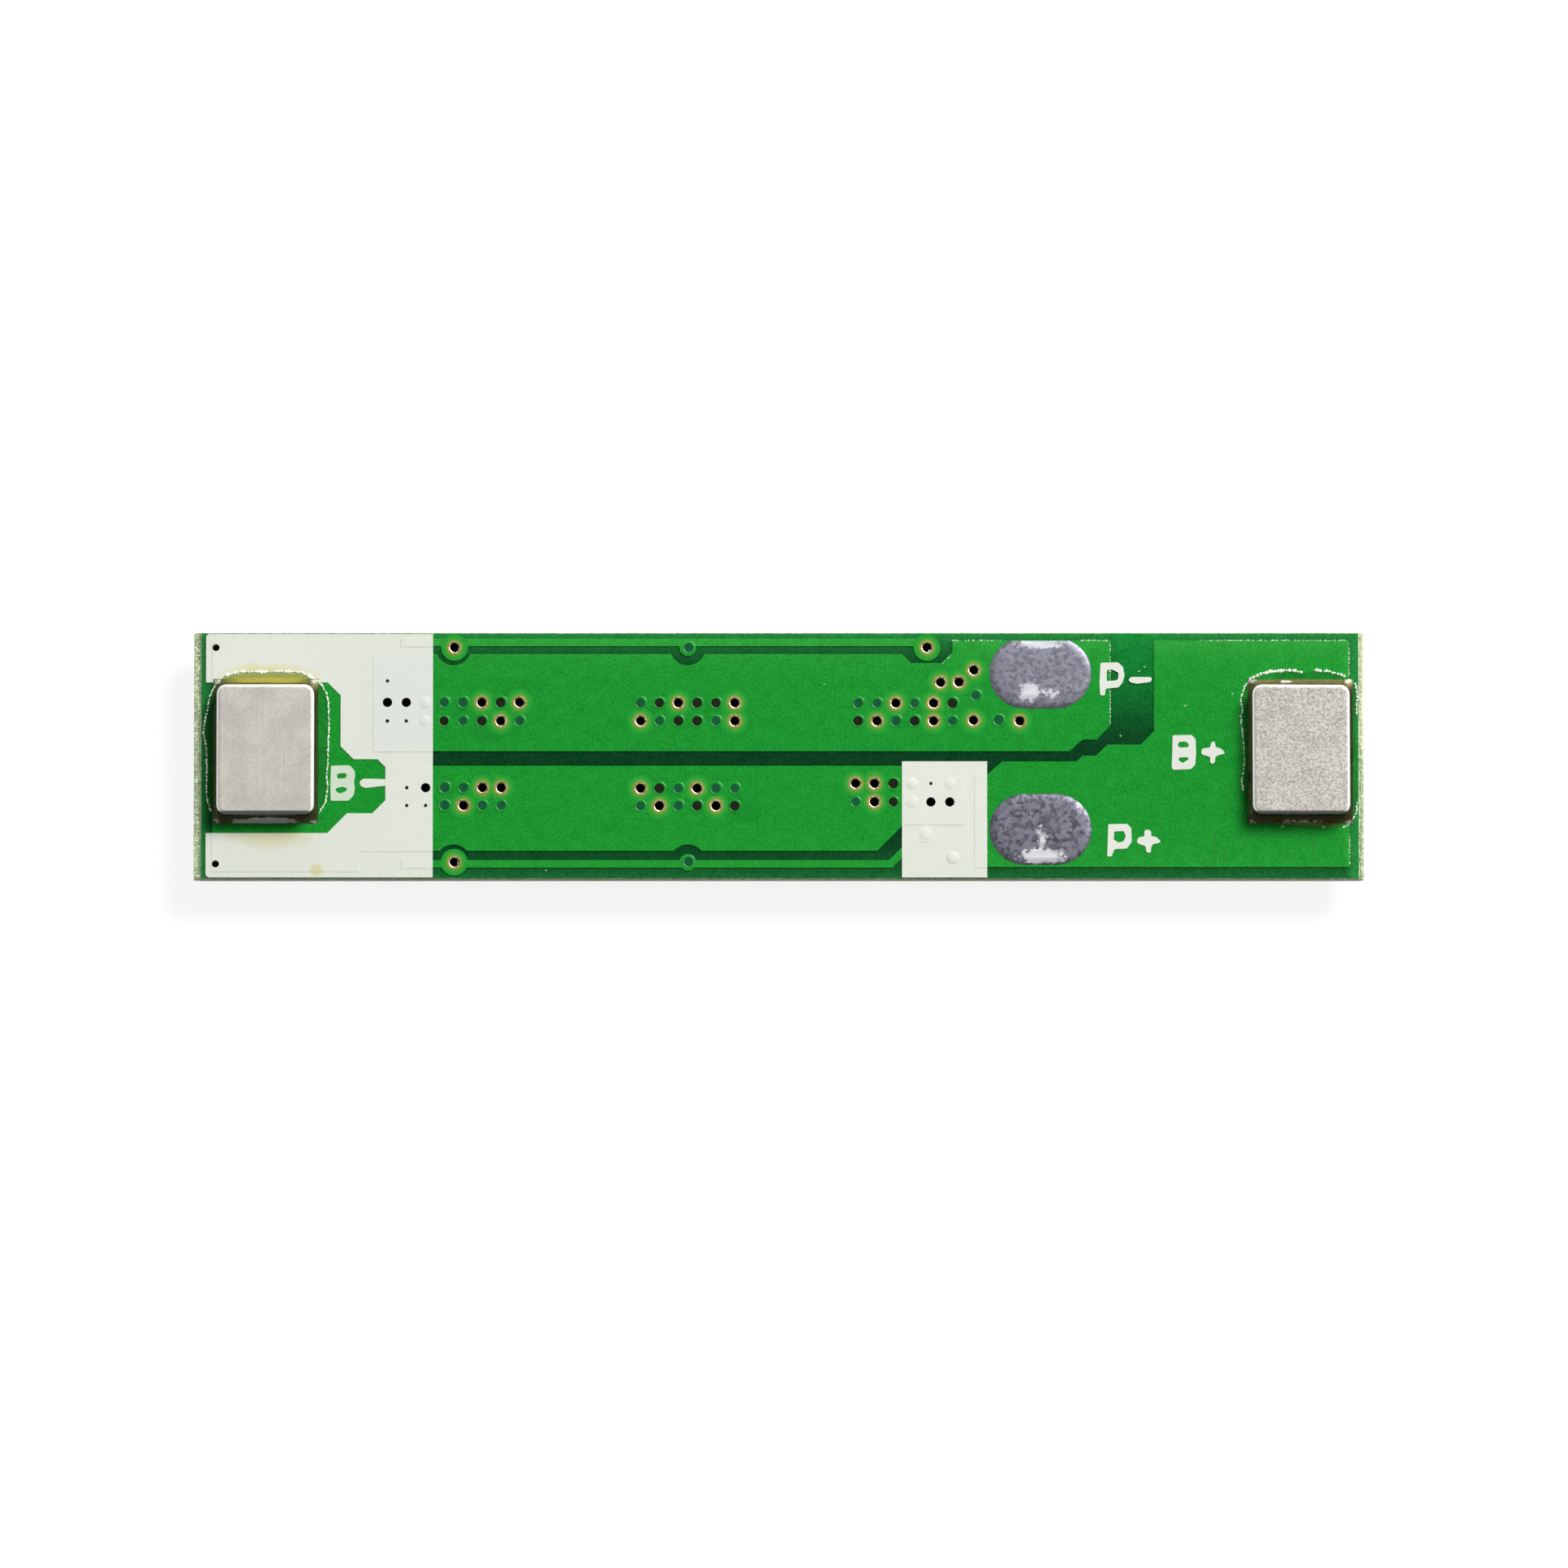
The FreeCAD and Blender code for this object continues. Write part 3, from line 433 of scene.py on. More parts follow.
def mask_material():
    """Green coat: light over copper, dark on the core, with painted light brightening it towards the board's edges and
    ends, more at the upper edge than the lower, and in the wide gap's upper part.
    """
    colours = bpy.context.scene.board_colours
    material, steps, shader = new_material("Green mask", Roughness=0.24, IOR=1.45, Specular_IOR_Level=0.3)
    place = steps.split(steps.place())
    upward = steps.span(place["Z"], BASE_TOP / MM + 0.004, PLATEAU / MM - 0.004)
    upward = steps.math("MULTIPLY", upward, steps.math("SUBTRACT", 1.0, cut_corner(steps, place)))
    front_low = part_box("solder_mask_front")[0][2]
    front_base = front_low + PLATEAU - BASE_TOP
    downward = steps.span(place["Z"], front_low / MM + 0.004, front_base / MM - 0.004, 1.0, 0.0)
    over = steps.math("MAXIMUM", upward, downward)
    # Painted light at the long edges and both ends, where light enters the core from its cut edges; the lower edge gets
    # about half of it.
    half_width = MASK_HIGH[1] / MM - 0.03
    edge = steps.math("POWER", steps.math("DIVIDE", steps.math("ABSOLUTE", place["Y"]), half_width), 7.0)
    upper = steps.span(place["Y"], -1.0, 1.5, 0.46, 1.0)
    edge = steps.math("MULTIPLY", edge, upper, clamp=True)
    right_end = steps.span(place["X"], 17.2, 17.75, 0.0, 1.0)
    ends = steps.math("MAXIMUM", right_end, steps.span(place["X"], -17.2, -17.75, 0.0, 0.75))
    edge = steps.math("MAXIMUM", edge, ends)
    on_glass = steps.mix(edge, colours.mask_on_glass, colours.mask_at_edge)
    lit_gap, lit_copper = (0.0035, 0.24, 0.03), (0.036, 0.35, 0.045)
    # Painted light: the coat in the wide gap beside the right pours is lighter, most towards the top.
    gap_light = patches(
        steps, [(11.0, 3.3, 1.6, 3.2, 0.68), (11.0, 1.0, 1.6, 2.4, 0.05)], square=1.0, softness=0.9, ragged=0.1,
    )
    on_glass = steps.mix(gap_light, on_glass, lit_gap)
    on_copper = steps.mix(steps.math("MULTIPLY", edge, 0.9), colours.mask_on_copper, lit_copper)
    colour = steps.mix(over, on_glass, on_copper)
    grain = use_group(steps, shared("grain"), Scale=2.5, Contrast=0.9)
    colour = steps.mix(1.0, colour, grain["Factor"], "MULTIPLY")
    streaks = steps.noise(steps.place(1.0, (14.0, 0.6, 1.0)), 1.0, 2.0)
    scuffed_green, burnt_green = (0.2, 0.42, 0.2), (0.004, 0.12, 0.012)
    colour = steps.mix(steps.span(streaks, 0.72, 0.78, 0.0, 0.12), colour, scuffed_green)
    burnt = patches(
        steps,
        [
            (-15.7, 0.1, 2.3, 2.75, 0.25), (16.0, 0.1, 2.1, 2.6, 0.2), (-9.06, 0.84, 0.6, 0.5, 0.16),
            (-8.1, 1.9, 0.5, 0.5, 0.12), (-1.04, -1.63, 0.6, 0.6, 0.14),
        ],
        square=0.7, softness=0.4, ragged=0.3,
    )
    colour = steps.mix(burnt, colour, burnt_green)
    steps.feed(shader, "Base Color", colour)
    steps.feed(shader, "Roughness", steps.span(grain["Height"], 0.3, 0.7, 0.2, 0.32))
    steps.feed(shader, "Normal", steps.bump(grain["Height"], 0.25, 0.004 * MM))
    return material


def print_material():
    """White ink, a little cooler where copper lies under it, with dust and flux stains."""
    colours = bpy.context.scene.board_colours
    material, steps, shader = new_material("White print", Roughness=0.5, IOR=1.45)
    place = steps.split(steps.place())
    over = steps.span(place["Z"], PRINT_TOP / MM - 0.009, PRINT_TOP / MM - 0.003)
    white = colours.print_white
    colour = steps.mix(over, shaded(white, 0.985, 1.0, 0.98), white)
    cool = patches(steps, [(-11.5, 1.65, 0.95, 1.5, 0.9)], square=1.0, softness=0.1, ragged=0.02)
    colour = steps.mix(cool, colour, shaded(white, 0.965, 0.985, 1.03))
    grain = use_group(steps, shared("grain"), Scale=3.5, Contrast=0.1)
    colour = steps.mix(1.0, colour, grain["Factor"], "MULTIPLY")
    thin = patches(steps, [(-13.41, -0.85, 0.55, 0.75, 0.9)], square=1.0, softness=0.1, ragged=0.02)
    colour = steps.mix(thin, colour, shaded(white, 0.78, 0.93, 0.79))
    stained_white = (0.6, 0.57, 0.24)
    stain = patches(
        steps,
        [(-15.75, 2.4, 1.9, 0.56, 0.85), (-15.6, -2.4, 1.75, 0.6, 0.5), (-14.21, -3.54, 0.28, 0.26, 0.7)],
        softness=0.6, ragged=0.35, scale=1.6,
    )
    colour = steps.mix(stain, colour, stained_white)
    steps.feed(shader, "Base Color", colour)
    steps.feed(shader, "Normal", steps.bump(grain["Height"], 0.3, 0.004 * MM))
    return material


def laminate_material():
    """Cut glass and epoxy: cream fibre bundles in a yellow-green resin."""
    colours = bpy.context.scene.board_colours
    material, steps, shader = new_material("Glass core", Roughness=0.55, IOR=1.5)
    fibres = steps.noise(steps.place(1.0, (9.0, 9.0, 26.0)), 1.0, 4.0, 0.65)
    plies = steps.add(
        "ShaderNodeTexWave", {"wave_type": "BANDS", "bands_direction": "Z"}, Vector=steps.place(), Scale=3.2,
        Distortion=1.5, Detail=2.0,
    ).outputs["Fac"]
    both = steps.math("ADD", steps.math("MULTIPLY", fibres, 0.7), steps.math("MULTIPLY", plies, 0.3))
    fibre_cream, clean_cream = (0.85, 0.88, 0.72), (0.76, 0.81, 0.58)
    colour = steps.mix(steps.span(both, 0.38, 0.6), shaded(colours.glass, 0.74), colours.glass)
    colour = steps.mix(steps.span(fibres, 0.53, 0.6), colour, fibre_cream)
    colour = steps.mix(steps.span(fibres, 0.44, 0.38), colour, shaded(colours.glass, 0.48))
    clean = patches(steps, [(17.95, 2.0, 0.5, 2.1, 0.75)], square=1.0, softness=0.3, ragged=0.4)
    colour = steps.mix(clean, colour, clean_cream)
    steps.feed(shader, "Base Color", colour)
    steps.feed(shader, "Normal", steps.bump(both, 0.6, 0.02 * MM))
    return material


def copper_material():
    """Copper of the foils, which the coats hide but for its edges."""
    material, steps, shader = new_material("Copper foil", Metallic=1.0, Roughness=0.35)
    grain = steps.noise(steps.place(1.0, (30.0, 6.0, 1.0)), 1.0, 3.0)
    colour = steps.mix(grain, (0.55, 0.27, 0.13), (0.86, 0.52, 0.32))
    steps.feed(shader, "Base Color", colour)
    steps.feed(shader, "Roughness", steps.span(grain, 0.3, 0.7, 0.28, 0.5))
    return material


def nickel_material():
    """Tumbled nickel: fine pits with faint rolling lines, coarser on the right block, with a painted highlight on the
    upper rims and painted shade on the lower side.
    """
    colours = bpy.context.scene.board_colours
    material, steps, shader = new_material("Tumbled nickel", Metallic=1.0, Roughness=0.58)
    where = steps.place()
    split = steps.split(where)
    right = steps.span(split["X"], -1.0, 1.0)
    pits = steps.noise(where, 13.0, 6.0, 0.75)
    lines = steps.noise(steps.place(1.0, (14.0, 0.4, 1.0)), 1.0, 4.0, 0.75)
    cloud = steps.noise(where, 1.1, 3.0)
    colour = steps.mix(steps.span(cloud, 0.35, 0.65), shaded(colours.nickel, 0.84), colours.nickel)
    streak = steps.math("MULTIPLY", steps.span(lines, 0.42, 0.64, 0.0, 0.7), steps.math("SUBTRACT", 1.0, right))
    rolled, pitted, rubbed = (0.6, 0.545, 0.53), (0.38, 0.35, 0.31), (0.84, 0.82, 0.75)
    painted_rim_highlight, painted_low_shade, duller = (0.97, 0.96, 0.93), (0.05, 0.045, 0.045), (0.86, 0.85, 0.87)
    colour = steps.mix(streak, colour, rolled)
    depth = steps.span(right, 0.0, 1.0, 0.35, 0.8, smooth=False)
    dark = steps.math("MULTIPLY", steps.span(pits, 0.46, 0.62), depth)
    colour = steps.mix(dark, colour, pitted)
    light = steps.math("MULTIPLY", steps.span(pits, 0.49, 0.38), depth)
    colour = steps.mix(light, colour, rubbed)
    colour = steps.mix(right, colour, steps.mix(1.0, colour, duller, "MULTIPLY"))
    low, high = box_mm(BLOCKS["b_plus"])
    top = high.z
    # Painted highlight: a near-white band round the upper rim, made less metallic there so that it stays white.
    below_top = steps.span(split["Z"], top - 0.0015, top - 0.006)
    rim = steps.math("MINIMUM", below_top, steps.span(split["Z"], top - 0.14, top - 0.09))
    colour = steps.mix(rim, colour, painted_rim_highlight)
    # Painted shade darkens each block's lower side.
    colour = steps.mix(steps.span(split["Y"], low.y + 0.13, low.y + 0.07, 0.0, 0.88), colour, painted_low_shade)
    steps.feed(shader, "Base Color", colour)
    steps.feed(shader, "Metallic", steps.span(rim, 0.0, 1.0, 1.0, 0.35))
    polish = steps.span(split["Z"], top - 0.008, top - 0.001, 0.32, 1.0)
    rough = steps.span(pits, 0.3, 0.7, 0.5, 0.68)
    steps.feed(shader, "Roughness", steps.math("MULTIPLY", rough, polish))
    height = steps.math("ADD", steps.math("MULTIPLY", pits, 0.75), steps.math("MULTIPLY", lines, 0.25))
    steps.feed(shader, "Normal", steps.bump(height, 0.35, 0.006 * MM))
    return material


def tin_steps(steps, where, dull, bright, amount):
    """Solder that set in crystals: a dull base with frosted bright patches where the amount is high."""
    frost = steps.noise(where, 16.0, 6.0, 0.75)
    cells = steps.add("ShaderNodeTexVoronoi", {"feature": "F1"}, Vector=where, Scale=9.0, Randomness=1.0)
    crystal = steps.add("ShaderNodeSeparateColor", Color=cells.outputs["Color"]).outputs["Red"]
    grain = steps.math("ADD", steps.math("MULTIPLY", frost, 0.7), steps.math("MULTIPLY", crystal, 0.3))
    colour = steps.mix(steps.span(grain, 0.36, 0.6), shaded(dull, 0.36), shaded(dull, 1.08))
    break_up = steps.noise(where, 7.0, 6.0, 0.8)
    share = steps.math("ADD", amount, steps.math("MULTIPLY", steps.math("SUBTRACT", break_up, 0.5), 2.2))
    share = steps.span(share, 0.42, 0.62)
    return steps.mix(share, colour, bright), share, grain


def pad_tin_material():
    """Both output pads: dull violet grey, with bright rubbed patches where the photograph has them."""
    colours = bpy.context.scene.board_colours
    material, steps, shader = new_material("Pad tin", Metallic=0.85, Roughness=0.55)
    where = steps.place()
    worn = patches(
        steps,
        [
            (8.05, 3.5, 1.15, 0.34, 1.0), (7.72, 1.98, 0.5, 0.5, 1.0), (8.35, 1.9, 0.6, 0.36, 0.62),
            (8.08, -2.6, 0.36, 0.8, 0.62), (8.1, -3.1, 1.15, 0.42, 0.95), (9.3, -1.6, 0.3, 0.5, 0.5),
        ],
        square=0.45, softness=0.9, ragged=0.5, scale=3.2,
    )
    colour, share, grain = tin_steps(steps, where, colours.dull_tin, colours.bright_tin, worn)
    side = steps.span(steps.split(where)["Y"], -0.5, 0.5, 0.0, 0.16)
    colour = steps.mix(side, colour, (0.62, 0.63, 0.74))
    streaks = steps.noise(steps.place(1.0, (0.8, 7.0, 1.0)), 1.0, 4.0)
    colour = steps.mix(steps.span(streaks, 0.4, 0.6, 0.0, 0.3), colour, (0.2, 0.19, 0.25))
    steps.feed(shader, "Base Color", colour)
    steps.feed(shader, "Roughness", steps.span(share, 0.0, 1.0, 0.5, 0.7))
    steps.feed(shader, "Normal", steps.bump(grain, 0.4, 0.008 * MM))
    return material


def fillet_tin_material():
    """Fillets at the blocks: browned by flux, silver at their lower edge and corners, and darker green brown along the
    blocks' sides as painted shade.
    """
    material, steps, shader = new_material("Fillet solder", Metallic=0.8, Roughness=0.45)
    where = steps.place()
    corners = [
        (side * 1.5 + middle, height, 0.3, 0.3, 0.64)
        for middle in (-15.78, 16.05) for side in (-1, 1) for height in (-2.1, 2.35)
    ]
    low = [(-15.78, -2.05, 1.7, 0.24, 0.95), (16.05, -2.05, 1.6, 0.2, 0.5), (15.6, 2.28, 0.4, 0.12, 0.66)]
    shiny = patches(steps, corners + low, square=0.2, softness=0.9, ragged=0.8, scale=3.5)
    dark_brown, light_brown, painted_side_shade = (0.05, 0.045, 0.014), (0.2, 0.175, 0.06), (0.012, 0.035, 0.006)
    brown = steps.mix(steps.noise(where, 3.0, 3.0), dark_brown, light_brown)
    # Painted shade: a dark green brown along the left and right sides of each block.
    beside = steps.math("ABSOLUTE", steps.split(where)["Y"])
    brown = steps.mix(steps.span(beside, 2.25, 1.8, 0.0, 0.8), brown, painted_side_shade)
    colour, share, grain = tin_steps(steps, where, (0.1, 0.085, 0.035), (0.52, 0.51, 0.46), shiny)
    colour = steps.mix(steps.span(share, 0.0, 0.5, 0.7, 0.0), colour, brown)
    steps.feed(shader, "Base Color", colour)
    steps.feed(shader, "Normal", steps.bump(grain, 0.7, 0.012 * MM))
    return material


def lead_tin_material():
    """Matt tin on leads, end caps and their joints."""
    colours = bpy.context.scene.board_colours
    material, steps, shader = new_material("Lead tin", Metallic=1.0, Roughness=0.4)
    where = steps.place()
    cloud = steps.noise(where, 6.0, 5.0, 0.65)
    steps.feed(shader, "Base Color", steps.mix(cloud, (0.48, 0.48, 0.5), colours.bright_tin))
    steps.feed(shader, "Roughness", steps.span(cloud, 0.3, 0.7, 0.3, 0.5))
    steps.feed(shader, "Normal", steps.bump(cloud, 0.3, 0.006 * MM))
    return material


def plating_material():
    """Bare plating round an open via: pale gold, scuffed."""
    colours = bpy.context.scene.board_colours
    material, steps, shader = new_material("Via plating", Metallic=1.0, Roughness=0.35)
    scuff = steps.noise(steps.place(), 14.0, 3.0)
    steps.feed(shader, "Base Color", steps.mix(scuff, shaded(colours.gold, 0.6), colours.gold))
    steps.feed(shader, "Roughness", steps.span(scuff, 0.3, 0.7, 0.25, 0.5))
    return material


def halo_material():
    """The coat where it thins out towards an open via: gold at the lip, green further out and lower."""
    material, steps, shader = new_material("Thin mask", Roughness=0.25)
    where = steps.place()
    height = steps.split(where)["Z"]
    sway = steps.math("MULTIPLY", steps.math("SUBTRACT", steps.noise(where, 5.0, 2.0), 0.5), 0.003)
    level = steps.math("ADD", height, sway)
    low = PLATEAU / MM
    green, yellow_green, old_gold = (0.012, 0.305, 0.029), (0.075, 0.33, 0.035), (0.36, 0.27, 0.055)
    colour = steps.mix(steps.span(level, low + 0.0004, low + 0.0045), green, yellow_green)
    colour = steps.mix(steps.span(level, low + 0.0045, low + 0.0082), colour, old_gold)
    steps.feed(shader, "Base Color", colour)
    return material


def via_shade_material():
    """The inside of a via, painted near black as the shade in it."""
    material, steps, shader = new_material("Painted via shade", Roughness=0.7, Specular_IOR_Level=0.0)
    depth = steps.noise(steps.place(), 11.0, 2.0)
    steps.feed(shader, "Base Color", steps.mix(depth, (0.004, 0.007, 0.004), (0.024, 0.03, 0.016)))
    return material


def sunk_mask_material():
    """The coat where it sags into a via: darker and wetter."""
    material, steps, shader = new_material("Sunk mask", Roughness=0.2)
    shade = steps.noise(steps.place(), 9.0, 2.0)
    steps.feed(shader, "Base Color", steps.mix(shade, (0.005, 0.055, 0.024), (0.012, 0.125, 0.05)))
    return material


def dust_material():
    """Pale dust on the coat."""
    material, steps, shader = new_material("Dust", Roughness=0.7)
    shade = steps.noise(steps.place(), 20.0, 2.0)
    steps.feed(shader, "Base Color", steps.mix(shade, (0.2, 0.36, 0.2), (0.5, 0.6, 0.42)))
    return material


def scratch_material():
    """Lines worn into the coat: a darker green."""
    material, steps, shader = new_material("Scratch", Roughness=0.5)
    shade = steps.noise(steps.place(), 6.0, 2.0)
    steps.feed(shader, "Base Color", steps.mix(shade, (0.003, 0.12, 0.01), (0.008, 0.2, 0.018)))
    return material


def bead_highlight_material():
    """Beads of dried flux and the glints along the foil: painted white all over as the highlight they catch."""
    material, steps, shader = new_material("Flux bead", Roughness=0.12, IOR=1.5)
    tint = steps.noise(steps.place(), 3.0, 2.0)
    steps.feed(shader, "Base Color", steps.mix(tint, (0.72, 0.84, 0.62), (1.0, 1.0, 0.94)))
    steps.feed(shader, "Alpha", steps.span(tint, 0.3, 0.6, 0.75, 1.0))
    return material


def film_material():
    """Clear dried flux: yellow where it lies thick above the left block, hardly seen elsewhere."""
    colours = bpy.context.scene.board_colours
    material, steps, shader = new_material("Flux film", Roughness=0.1, IOR=1.5)
    where = steps.place()
    thick = patches(
        steps, [(-15.75, 2.12, 1.85, 0.52, 0.9), (16.0, 2.15, 1.6, 0.26, 0.55), (16.0, -2.15, 1.5, 0.2, 0.5)],
        square=0.8, softness=0.6, ragged=0.2, scale=1.2,
    )
    uneven = steps.noise(where, 1.8, 3.0)
    steps.feed(shader, "Base Color", steps.mix(thick, (0.02, 0.2, 0.03), colours.flux))
    clear = steps.span(uneven, 0.35, 0.65, 0.08, 0.3)
    steps.feed(shader, "Alpha", steps.math("MAXIMUM", clear, steps.math("MULTIPLY", thick, 0.8)))
    return material


def mould_material():
    """Black moulding compound: fine grit and a faint sheen."""
    material, steps, shader = new_material("Moulding compound", Roughness=0.6)
    grit = steps.noise(steps.place(), 30.0, 4.0, 0.7)
    steps.feed(shader, "Base Color", steps.mix(grit, (0.012, 0.012, 0.013), (0.035, 0.035, 0.037)))
    steps.feed(shader, "Roughness", steps.span(grit, 0.3, 0.7, 0.5, 0.72))
    steps.feed(shader, "Normal", steps.bump(grit, 0.4, 0.006 * MM))
    return material


def ceramic_material(name, dark, light):
    """Glazed or fired ceramic of a chip part, between two colours."""
    material, steps, shader = new_material(name, Roughness=0.4)
    grain = steps.noise(steps.place(), 16.0, 4.0)
    steps.feed(shader, "Base Color", steps.mix(grain, dark, light))
    steps.feed(shader, "Normal", steps.bump(grain, 0.3, 0.004 * MM))
    return material


MATERIALS = {}


def finish(name):
    """One of the board's materials, built when it is first asked for."""
    makers = {
        "mask": mask_material,
        "print": print_material,
        "glass": laminate_material,
        "copper": copper_material,
        "nickel": nickel_material,
        "pad_tin": pad_tin_material,
        "fillet_tin": fillet_tin_material,
        "halo": halo_material,
        "film": film_material,
        "lead_tin": lead_tin_material,
        "sunk_mask": sunk_mask_material,
        "dust": dust_material,
        "scratch": scratch_material,
        "plating": plating_material,
        "hole": via_shade_material,
        "flux": bead_highlight_material,
        "mould": mould_material,
        "resistor": lambda: ceramic_material("Resistor glaze", (0.01, 0.01, 0.012), (0.03, 0.03, 0.035)),
        "capacitor": lambda: ceramic_material("Capacitor ceramic", (0.3, 0.19, 0.11), (0.46, 0.31, 0.2)),
    }
    if name not in MATERIALS:
        MATERIALS[name] = makers[name]()
    return MATERIALS[name]


def dress(nodes, name):
    """Give CAD nodes one finish."""
    for node in nodes:
        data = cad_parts[node].data
        data.materials.clear()
        data.materials.append(finish(name))


def piece(name, bm, finish_name, smooth=True):
    """Turn a finished mesh into an object that rides on the board."""
    bmesh.ops.remove_doubles(bm, verts=bm.verts, dist=1e-8)
    bmesh.ops.recalc_face_normals(bm, faces=bm.faces)
    for edge in bm.edges:
        edge.smooth = edge.calc_face_angle(0.0) < CREASE
    mesh = bpy.data.meshes.new(name)
    bm.to_mesh(mesh)
    bm.free()
    mesh.polygons.foreach_set("use_smooth", [smooth] * len(mesh.polygons))
    mesh.materials.append(finish(finish_name))
    result = bpy.data.objects.new(name, mesh)
    bpy.context.scene.collection.objects.link(result)
    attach(result, "root")
    return result


def turned(bm, x, y, profile, steps):
    """Spin a profile of radius and height, in mm and metres, round an upright line through x, y in mm."""
    corners = [bm.verts.new(((x + radius) * MM, y * MM, height)) for radius, height in profile]
    edges = [bm.edges.new(pair) for pair in zip(corners, corners[1:])]
    bmesh.ops.spin(
        bm, geom=corners + edges, cent=(x * MM, y * MM, 0), axis=(0, 0, 1), angle=2 * math.pi, steps=steps,
        use_merge=True,
    )


def round_bore(profile):
    """A closed profile that is measured from the bore's wall and the mask's level, ready to be turned."""
    points = [(BORE_RADIUS + distance, PLATEAU + height * MM) for distance, height in profile]
    return points + points[:1]


def all_vias():
    """Every via as x, y and its letter."""
    vias = []
    for first, height, letters in VIA_ROWS:
        vias += [(first + place * VIA_PITCH, height, letter) for place, letter in enumerate(letters)]
    return vias + SINGLE_VIAS


def in_print(x, y):
    """Whether the white fields cover that place, in mm."""
    low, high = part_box("print_field_right")
    right = low[0] < x * MM < high[0] and low[1] < y * MM < high[1]
    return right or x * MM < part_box("print_field_left")[1][0]


def box_mm(node):
    """A CAD node's lowest and highest corners in mm."""
    low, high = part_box(node)
    return low / MM, high / MM


def rise(x, y, z, scale, seed):
    """Smooth unevenness between about -1 and 1 at a place in mm."""
    return noise.noise(Vector((x * scale + seed, y * scale - seed, z * scale)))


class BOARD_OT_finish_solids(bpy.types.Operator):
    """Give the laminate, foils, coats and packages of the frame their finishes"""

    bl_idname = "board.finish_solids"
    bl_label = "Finish the frame's solids"

    def execute(self, context):
        nodes = sorted(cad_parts)
        dress(["laminate"], "glass")
        dress([node for node in nodes if "copper" in node or "track" in node], "copper")
        dress(["solder_mask_back", "solder_mask_front"], "mask")
        dress([node for node in nodes if "joint" in node], "lead_tin")
        dress([node for node in nodes if "leads" in node or "caps" in node], "lead_tin")
        dress([node for node in nodes if node.startswith(("mosfet_body", "protection_ic_body"))], "mould")
        dress(["sense_resistor_body", "supply_resistor_body"], "resistor")
        dress(["filter_capacitor_body"], "capacitor")
        return {"FINISHED"}


class BOARD_OT_printed_fields(bpy.types.Operator):
    """Level the white fields where the ink ran together over the edges of the foil"""

    bl_idname = "board.printed_fields"
    bl_label = "Printed fields"

    def execute(self, context):
        share = context.scene.board_sizes.print_relief
        lowest, highest = BASE_TOP + 0.01 * MM, PLATEAU - 0.005 * MM
        for side in ("left", "right"):
            node = f"print_field_{side}"
            bm = bmesh.new()
            bm.from_mesh(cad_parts[node].data)
            bmesh.ops.remove_doubles(bm, verts=bm.verts, dist=1e-7)
            for vert in bm.verts:
                if lowest < vert.co.z < highest:
                    vert.co.z = PRINT_TOP - share * (PRINT_TOP - vert.co.z)
            field = piece(f"printed_field_{side}", bm, "print", smooth=False)
            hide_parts(node)
        return {"FINISHED"}


class BOARD_OT_nickel_blocks(bpy.types.Operator):
    """Model both weld blocks with rounded corners and worn edges"""

    bl_idname = "board.nickel_blocks"
    bl_label = "Nickel blocks"

    def execute(self, context):
        sizes = context.scene.board_sizes
        for number, (sign, node) in enumerate(BLOCKS.items()):
            low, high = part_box(node)
            bm = bmesh.new()
            bmesh.ops.create_cube(bm, size=1.0)
            bmesh.ops.scale(bm, vec=high - low, verts=bm.verts)
            bmesh.ops.translate(bm, vec=(low + high) / 2, verts=bm.verts)
            upright = [edge for edge in bm.edges if abs(edge.verts[0].co.z - edge.verts[1].co.z) > MM / 10]
            bmesh.ops.bevel(
                bm, geom=upright, offset=sizes.block_corner, segments=6, affect="EDGES", profile=0.5, material=-1,
            )
            rim = [edge for edge in bm.edges if min(vert.co.z for vert in edge.verts) > high.z - 1e-7]
            bmesh.ops.bevel(
                bm, geom=rim, offset=sizes.block_edge, segments=4, affect="EDGES", profile=0.5, material=-1,
            )
            top = [face for face in bm.faces if face.calc_center_median().z > high.z - 1e-7]
            bmesh.ops.inset_region(bm, faces=top, thickness=0.06 * MM)
            sway = 0.012 * MM
            for vert in bm.verts:
                x, y, z = vert.co / MM
                vert.co.x += sway * rise(x, y, z, 1.3, number * 9.0)
                vert.co.y += sway * rise(x, y, z, 1.3, number * 9.0 + 4.0)
                vert.co.z = min(vert.co.z, high.z)
            block = piece(f"weld_block_{sign}", bm, "nickel")
            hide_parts(node)
        return {"FINISHED"}


